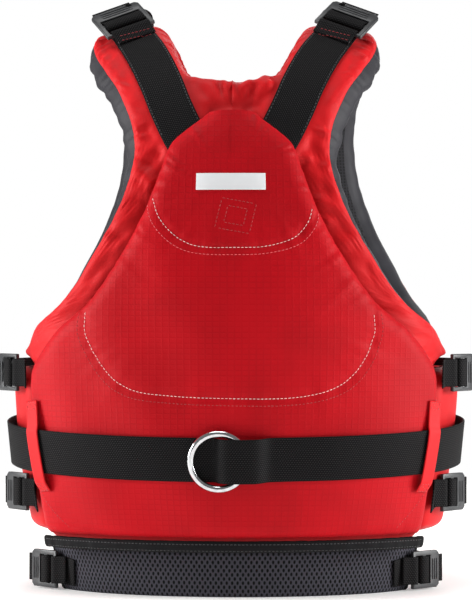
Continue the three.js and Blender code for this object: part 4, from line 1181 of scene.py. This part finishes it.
def makeBelt():
    start = [(-8, 10.3, 0, -1), (-14, 10.3, 0, -1), (-18.2, 9.6, -0.6, -0.8), (-20.2, 6, -1, 0),
             (-20.6, 3.6, -0.9, -0.4), (-23.5, 1.7, -0.3, -1), (-31, 1.5, 0, -1)]
    finish = [(31, 1.5, 0, 1), (23.5, 1.7, 0.3, 1), (20.6, 3.6, 0.9, 0.4), (20.2, 6, 1, 0),
              (22, 9.6, 0.4, -0.9), (26, 10.3, 0, -1), (33, 9, 0.2, -1), (44, 6.5, 0.2, -1)]
    run = [(p, across, -out) for p, across, out in (frontStation(*s) for s in start)]
    run += [beltStation(-degrees) for degrees in np.arange(167, 18, -7.45)]
    for x, extra in belt["weave"]:
        phi = math.asin(x * belt["weaveShrink"] / float(halfWidth(belt["middle"])))
        run.append(beltStation(math.degrees(phi), extra))
    run += [beltStation(degrees) for degrees in np.arange(11, 168, 7.8)]
    run += [frontStation(*s) for s in finish]
    writeRibbon("harnessBelt", run, webbingSizes["belt"], webbingSizes["beltThick"], cloths["webbing"],
                "vest", ["harness_belt"])
    for side, hand in ((1, "left"), (-1, "right")):
        across = levelSeat(side, belt["loopAngles"][1], belt["middle"], 0)["along"]
        stations = []
        for g, off in belt["loops"]:
            t = (g - belt["loops"][0][0]) / 77
            phi = side * math.radians(np.interp(t, (0, 1), belt["loopAngles"]))
            stations.append((onSkin(phi, g, off), across, outwardAt(phi, g)))
        writeRibbon("beltLoop" + hand.title(), stations, webbingSizes["loop"], webbingSizes["loopThick"],
                    cloths["redWebbing"], "vest", [f"belt_loop_{hand}"])


# round wire carried round a circle, with a low bead where its ends are welded
def makeRing():
    x, g, off = belt["ring"]
    phi = math.asin(x / float(halfWidth(g)))
    centre, out = onSkin(phi, g, off), outwardAt(phi, g)
    u = unit(np.cross([0, 0, 1.0], out))
    v = np.cross(out, u)
    around, section = np.linspace(0, 2 * math.pi, 129)[:-1], np.linspace(0, 2 * math.pi, 25)[:-1]
    wire = belt["ringWire"] / 2 * (1 + 0.05 * np.exp(-((around - 2.2) / 0.05) ** 2))[:, None]
    radius = (belt["ringOuter"] - belt["ringWire"]) / 2
    way = np.cos(around)[:, None] * u + np.sin(around)[:, None] * v
    grid = (centre + way[:, None] * (radius + wire * np.cos(section))[..., None]
            + out * (wire * np.sin(section))[..., None])
    rows, columns = grid.shape[:2]
    grid = np.concatenate([grid, grid[:1]])
    uv = np.zeros((len(grid) * columns, 2))
    faces = [gridFaces(rows + 1, columns, closed=True)]
    obj = writeMesh("harnessRing", *weld(grid.reshape(-1, 3), faces, uv))
    finishPiece(obj, cloths["steel"], body="ring", stands=["harness_ring"])


# sewing: stitches laid on the finished cloth
threads = {"length": 2.8, "gap": 0.9, "radius": 0.3, "sides": 6, "steps": 5}


def treesOf(names):
    depsgraph = bpy.context.evaluated_depsgraph_get()
    return [BVHTree.FromObject(bpy.data.objects[name], depsgraph) for name in names]


# nearest hit looking back in from a place outside
def landOn(trees, place, out):
    start, way = Vector((place + [0, shiftY, 0]) * metre), Vector(-out)
    hits = [tree.ray_cast(start, way, 0.12) for tree in trees]
    hits = [h for h in hits if h[0] is not None]
    if not hits:
        return None
    point, normal = min(hits, key=lambda h: h[3])[:2]
    normal = normal if normal.dot(way) < 0 else -normal
    return np.array(point) / metre - [0, shiftY, 0], np.array(normal)


# capsule stitches along a line given outside the cloth: each one's ends dip in and its middle stands proud
def sewLine(name, lines, on, material):
    trees, points, faces, start = treesOf(on), [], [], 0
    steps, sides, radius = threads["steps"], threads["sides"], threads["radius"]
    turn = np.linspace(0, 2 * math.pi, sides + 1)[:-1]
    u = np.linspace(0, 1, steps)
    for places, outs in lines:
        length = np.concatenate([[0], np.cumsum(np.linalg.norm(np.diff(places, axis=0), axis=1))])
        for s in np.arange(0.5, length[-1] - threads["length"], threads["length"] + threads["gap"]):
            at = s + u * threads["length"]
            spots = [landOn(trees, np.array([np.interp(a, length, places[:, k]) for k in range(3)]),
                            unit(np.array([np.interp(a, length, outs[:, k]) for k in range(3)]))) for a in at]
            if any(spot is None for spot in spots):
                continue
            p, n = np.array([spot[0] for spot in spots]), np.array([spot[1] for spot in spots])
            if np.linalg.norm(p[-1] - p[0]) > 1.6 * threads["length"]:
                continue
            wide = radius * np.array([0.35, 0.9, 1, 0.9, 0.35])[:, None, None]
            across = unit(np.cross(n, np.gradient(p, axis=0)))
            centre = p + n * (radius * (-0.5 + 0.95 * np.sin(math.pi * u)))[:, None]
            way = np.cos(turn)[:, None] * across[:, None] + np.sin(turn)[:, None] * n[:, None]
            ring = centre[:, None] + wide * way
            points.append(ring.reshape(-1, 3))
            faces.append(gridFaces(steps, sides, start, closed=True, flip=True))
            cap = np.arange(start, start + sides)[None]
            faces += [cap, (cap + (steps - 1) * sides)[:, ::-1]]
            start += steps * sides
    grid = np.concatenate(points)
    finishPiece(writeMesh(name, grid, faces, np.zeros((len(grid), 2))), material)


# straight lines from corner to corner
def cornerLines(corners, off=60):
    return [skinLine([a, b], off) for a, b in zip(corners[:-1], corners[1:])]




def squareAround(degrees, g, half, turned):
    corners = []
    for quarter in range(5):
        a = math.radians(45 + turned + 90 * quarter)
        x, y = half * math.sqrt(2) * math.cos(a), half * math.sqrt(2) * math.sin(a)
        corners.append((degrees + x / 2.9, g + y))
    return corners


def webbingLine(run, across, fromS, toS, outside=8):
    path, w, normal, s = run
    at = np.linspace(fromS, toS, max(int(abs(toS - fromS)), 3))
    pick = [np.stack([np.interp(at, s, v[:, k]) for k in range(3)], -1) for v in (path, w, normal)]
    return pick[0] + pick[1] * across + pick[2] * outside, pick[2]


def sewEverything(runs):
    pod = ["bodyCloth", "yokeCloth"]
    sewLine("arcStitching", [skinLine(sewing["upperArc"]), skinLine(sewing["lowerArc"])], pod,
            cloths["whiteThread"])
    sewLine("arcSecondStitching", [skinLine(sewing["upperArcOutside"])], pod,
            cloths["paleThread"])
    corners = squareAround(*sewing["diamond"])
    inner = squareAround(sewing["diamond"][0], sewing["diamond"][1], 7, sewing["diamond"][3])
    tonal = cornerLines(corners) + cornerLines(inner) + [skinLine(sewing["lowerArcOutside"])]
    tonal += [skinLine([(side * degrees, g) for degrees, g in sewing["dart"]]) for side in (1, -1)]
    for degrees in (61.0, -61.0):
        tonal.append(skinLine([(degrees, 64), (degrees * 0.995, 196)]))
    sewLine("podTonalStitching", tonal, pod, cloths["redThread"])
    pocket = [(-72, 226), (72, 226), (72, 322), (-72, 322), (-72, 226)]
    rows = []
    for (x0, z0), (x1, z1) in zip(pocket[:-1], pocket[1:]):
        t = np.linspace(0, 1, 60)
        places = np.stack([x0 + (x1 - x0) * t, np.full(60, -190.0), z0 + (z1 - z0) * t], -1)
        rows.append((places, np.repeat([[0.0, -1.0, 0.0]], 60, 0)))
    sewLine("pocketStitching", rows, ["frontPocket"], cloths["redThread"])
    hem = [skinLine([(d, 54.6) for d in range(-60, 61, 4)]), skinLine([(d, 48.6) for d in range(-60, 61, 4)])]
    sewLine("hemStitching", hem, ["hemBinding"], cloths["blackThread"])
    for side, hand in ((1, "Left"), (-1, "Right")):
        rows = [skinLine([(side * d, 62), (side * d, 197)]) for d in sewing["sideRows"]]
        sewLine("sideStitching" + hand, rows, ["sidePanel" + hand], cloths["redThread"])
        loops = []
        for low, high in sewing["loopEnds"]:
            d = side * (55 if low < 120 else 57.3)
            box = [(d - 1.7, low), (d + 1.7, low), (d + 1.7, high), (d - 1.7, high), (d - 1.7, low),
                   (d + 1.7, high)]
            loops += cornerLines(box)
        sewLine("loopStitching" + hand, loops, ["beltLoop" + hand], cloths["redThread"])
        run = runs["shoulder" + hand]
        end = run[3][-1]
        box = [webbingLine(run, a, 38, end - 24) for a in (-17.2, 17.2)]
        path, w, normal, lengths = run
        x = np.linspace(-15.5, 15.5, 30)[:, None]
        on = ["shoulderWebbing" + hand]
        sewLine("strapStitching" + hand, box, on, cloths["blackThread"])
        tops = []
        for s in (33, 38):
            place, way, out = ([np.interp(s, lengths, v[:, k]) for k in range(3)] for v in (path, w, normal))
            tops.append((np.array(place) + x * np.array(way) + 8 * np.array(out), np.repeat([out], 30, 0)))
        sewLine("strapTopStitching" + hand, tops, on, cloths["redThread"])


# zip teeth: small rounded bars on both tapes in turn, standing on the front face
def makeTeeth():
    teeth = {"pitch": 1.5, "long": 3.4, "half": 56, "z": 303, "y": -158.4, "radius": 0.62}
    u, turn = np.linspace(0, 1, 5), np.linspace(0, 2 * math.pi, 9)[:-1]
    points, faces, start = [], [], 0
    for i, x in enumerate(np.arange(-teeth["half"], teeth["half"], teeth["pitch"])):
        middle = teeth["z"] + (0.9 if i % 2 else -0.9)
        wide = teeth["radius"] * np.array([0.4, 0.9, 1, 0.9, 0.4])[:, None]
        z = middle + (u[:, None] - 0.5) * teeth["long"] + 0 * turn
        grid = np.stack([x + wide * np.cos(turn), teeth["y"] - shiftY - 0.1 + wide * np.sin(turn), z], -1)
        points.append(grid.reshape(-1, 3))
        faces.append(gridFaces(5, 8, start, closed=True))
        faces += [np.arange(start, start + 8)[None, ::-1], np.arange(start + 32, start + 40)[None]]
        start += 40
    grid = np.concatenate(points)
    finishPiece(writeMesh("zipTeeth", grid, faces, np.zeros((len(grid), 2))), cloths["zipMetal"])


strapLines += [
    np.array([shoulderPoint(1, t, panelShape["full"])[0] for t in np.linspace(shoulder["sewn"][-1], 1.0, 12)]),
    np.array([onSkin(math.pi - math.asin(x / float(halfWidth(g))), g, panelShape["full"])
              for x, g, _ in shoulder["front"]]),
]
makePanels()
print("panels made")
makeBands()
makeSideStraps()
runs = makeShoulders()
makeBelt()
makeRing()
print("bands, straps, belt and ring made")

for node, name, width, cloth, slot, body in (
        ("release_buckle", "releaseBuckle", 0.7, "acetal", "acetal_plastic", "vest"),
        ("release_lever", "releaseLever", 0.6, "acetal", "acetal_plastic", "release_lever"),
        ("release_ball", "releaseBall", 0.3, "gloss", "gloss_ball", "release_ball"),
        ("zip_slider", "zipSlider", 0.35, "zipMetal", "zip_metal", "zip_slider"),
        ("zip_pull", "zipPull", 0.3, "acetal", "pull_plastic", "zip_pull"),
        ("zip_tape", "zipTape", 0.2, "binding", "zip_tape", "vest"),
        ("front_pocket", "frontPocket", 4.0, "ripstop", "red_ripstop", "vest"),
        ("lash_tab", "lashTab", 0.6, "rubber", "moulded_patch", "vest"),
        ("reflective_strip", "reflectiveStrip", 0.2, "reflective", "reflective_tape", "vest")):
    roundedCopy(name, node, width, cloths[cloth], body)
makeTeeth()
print("hardware made")
sewEverything(runs)
print("stitches sewn")
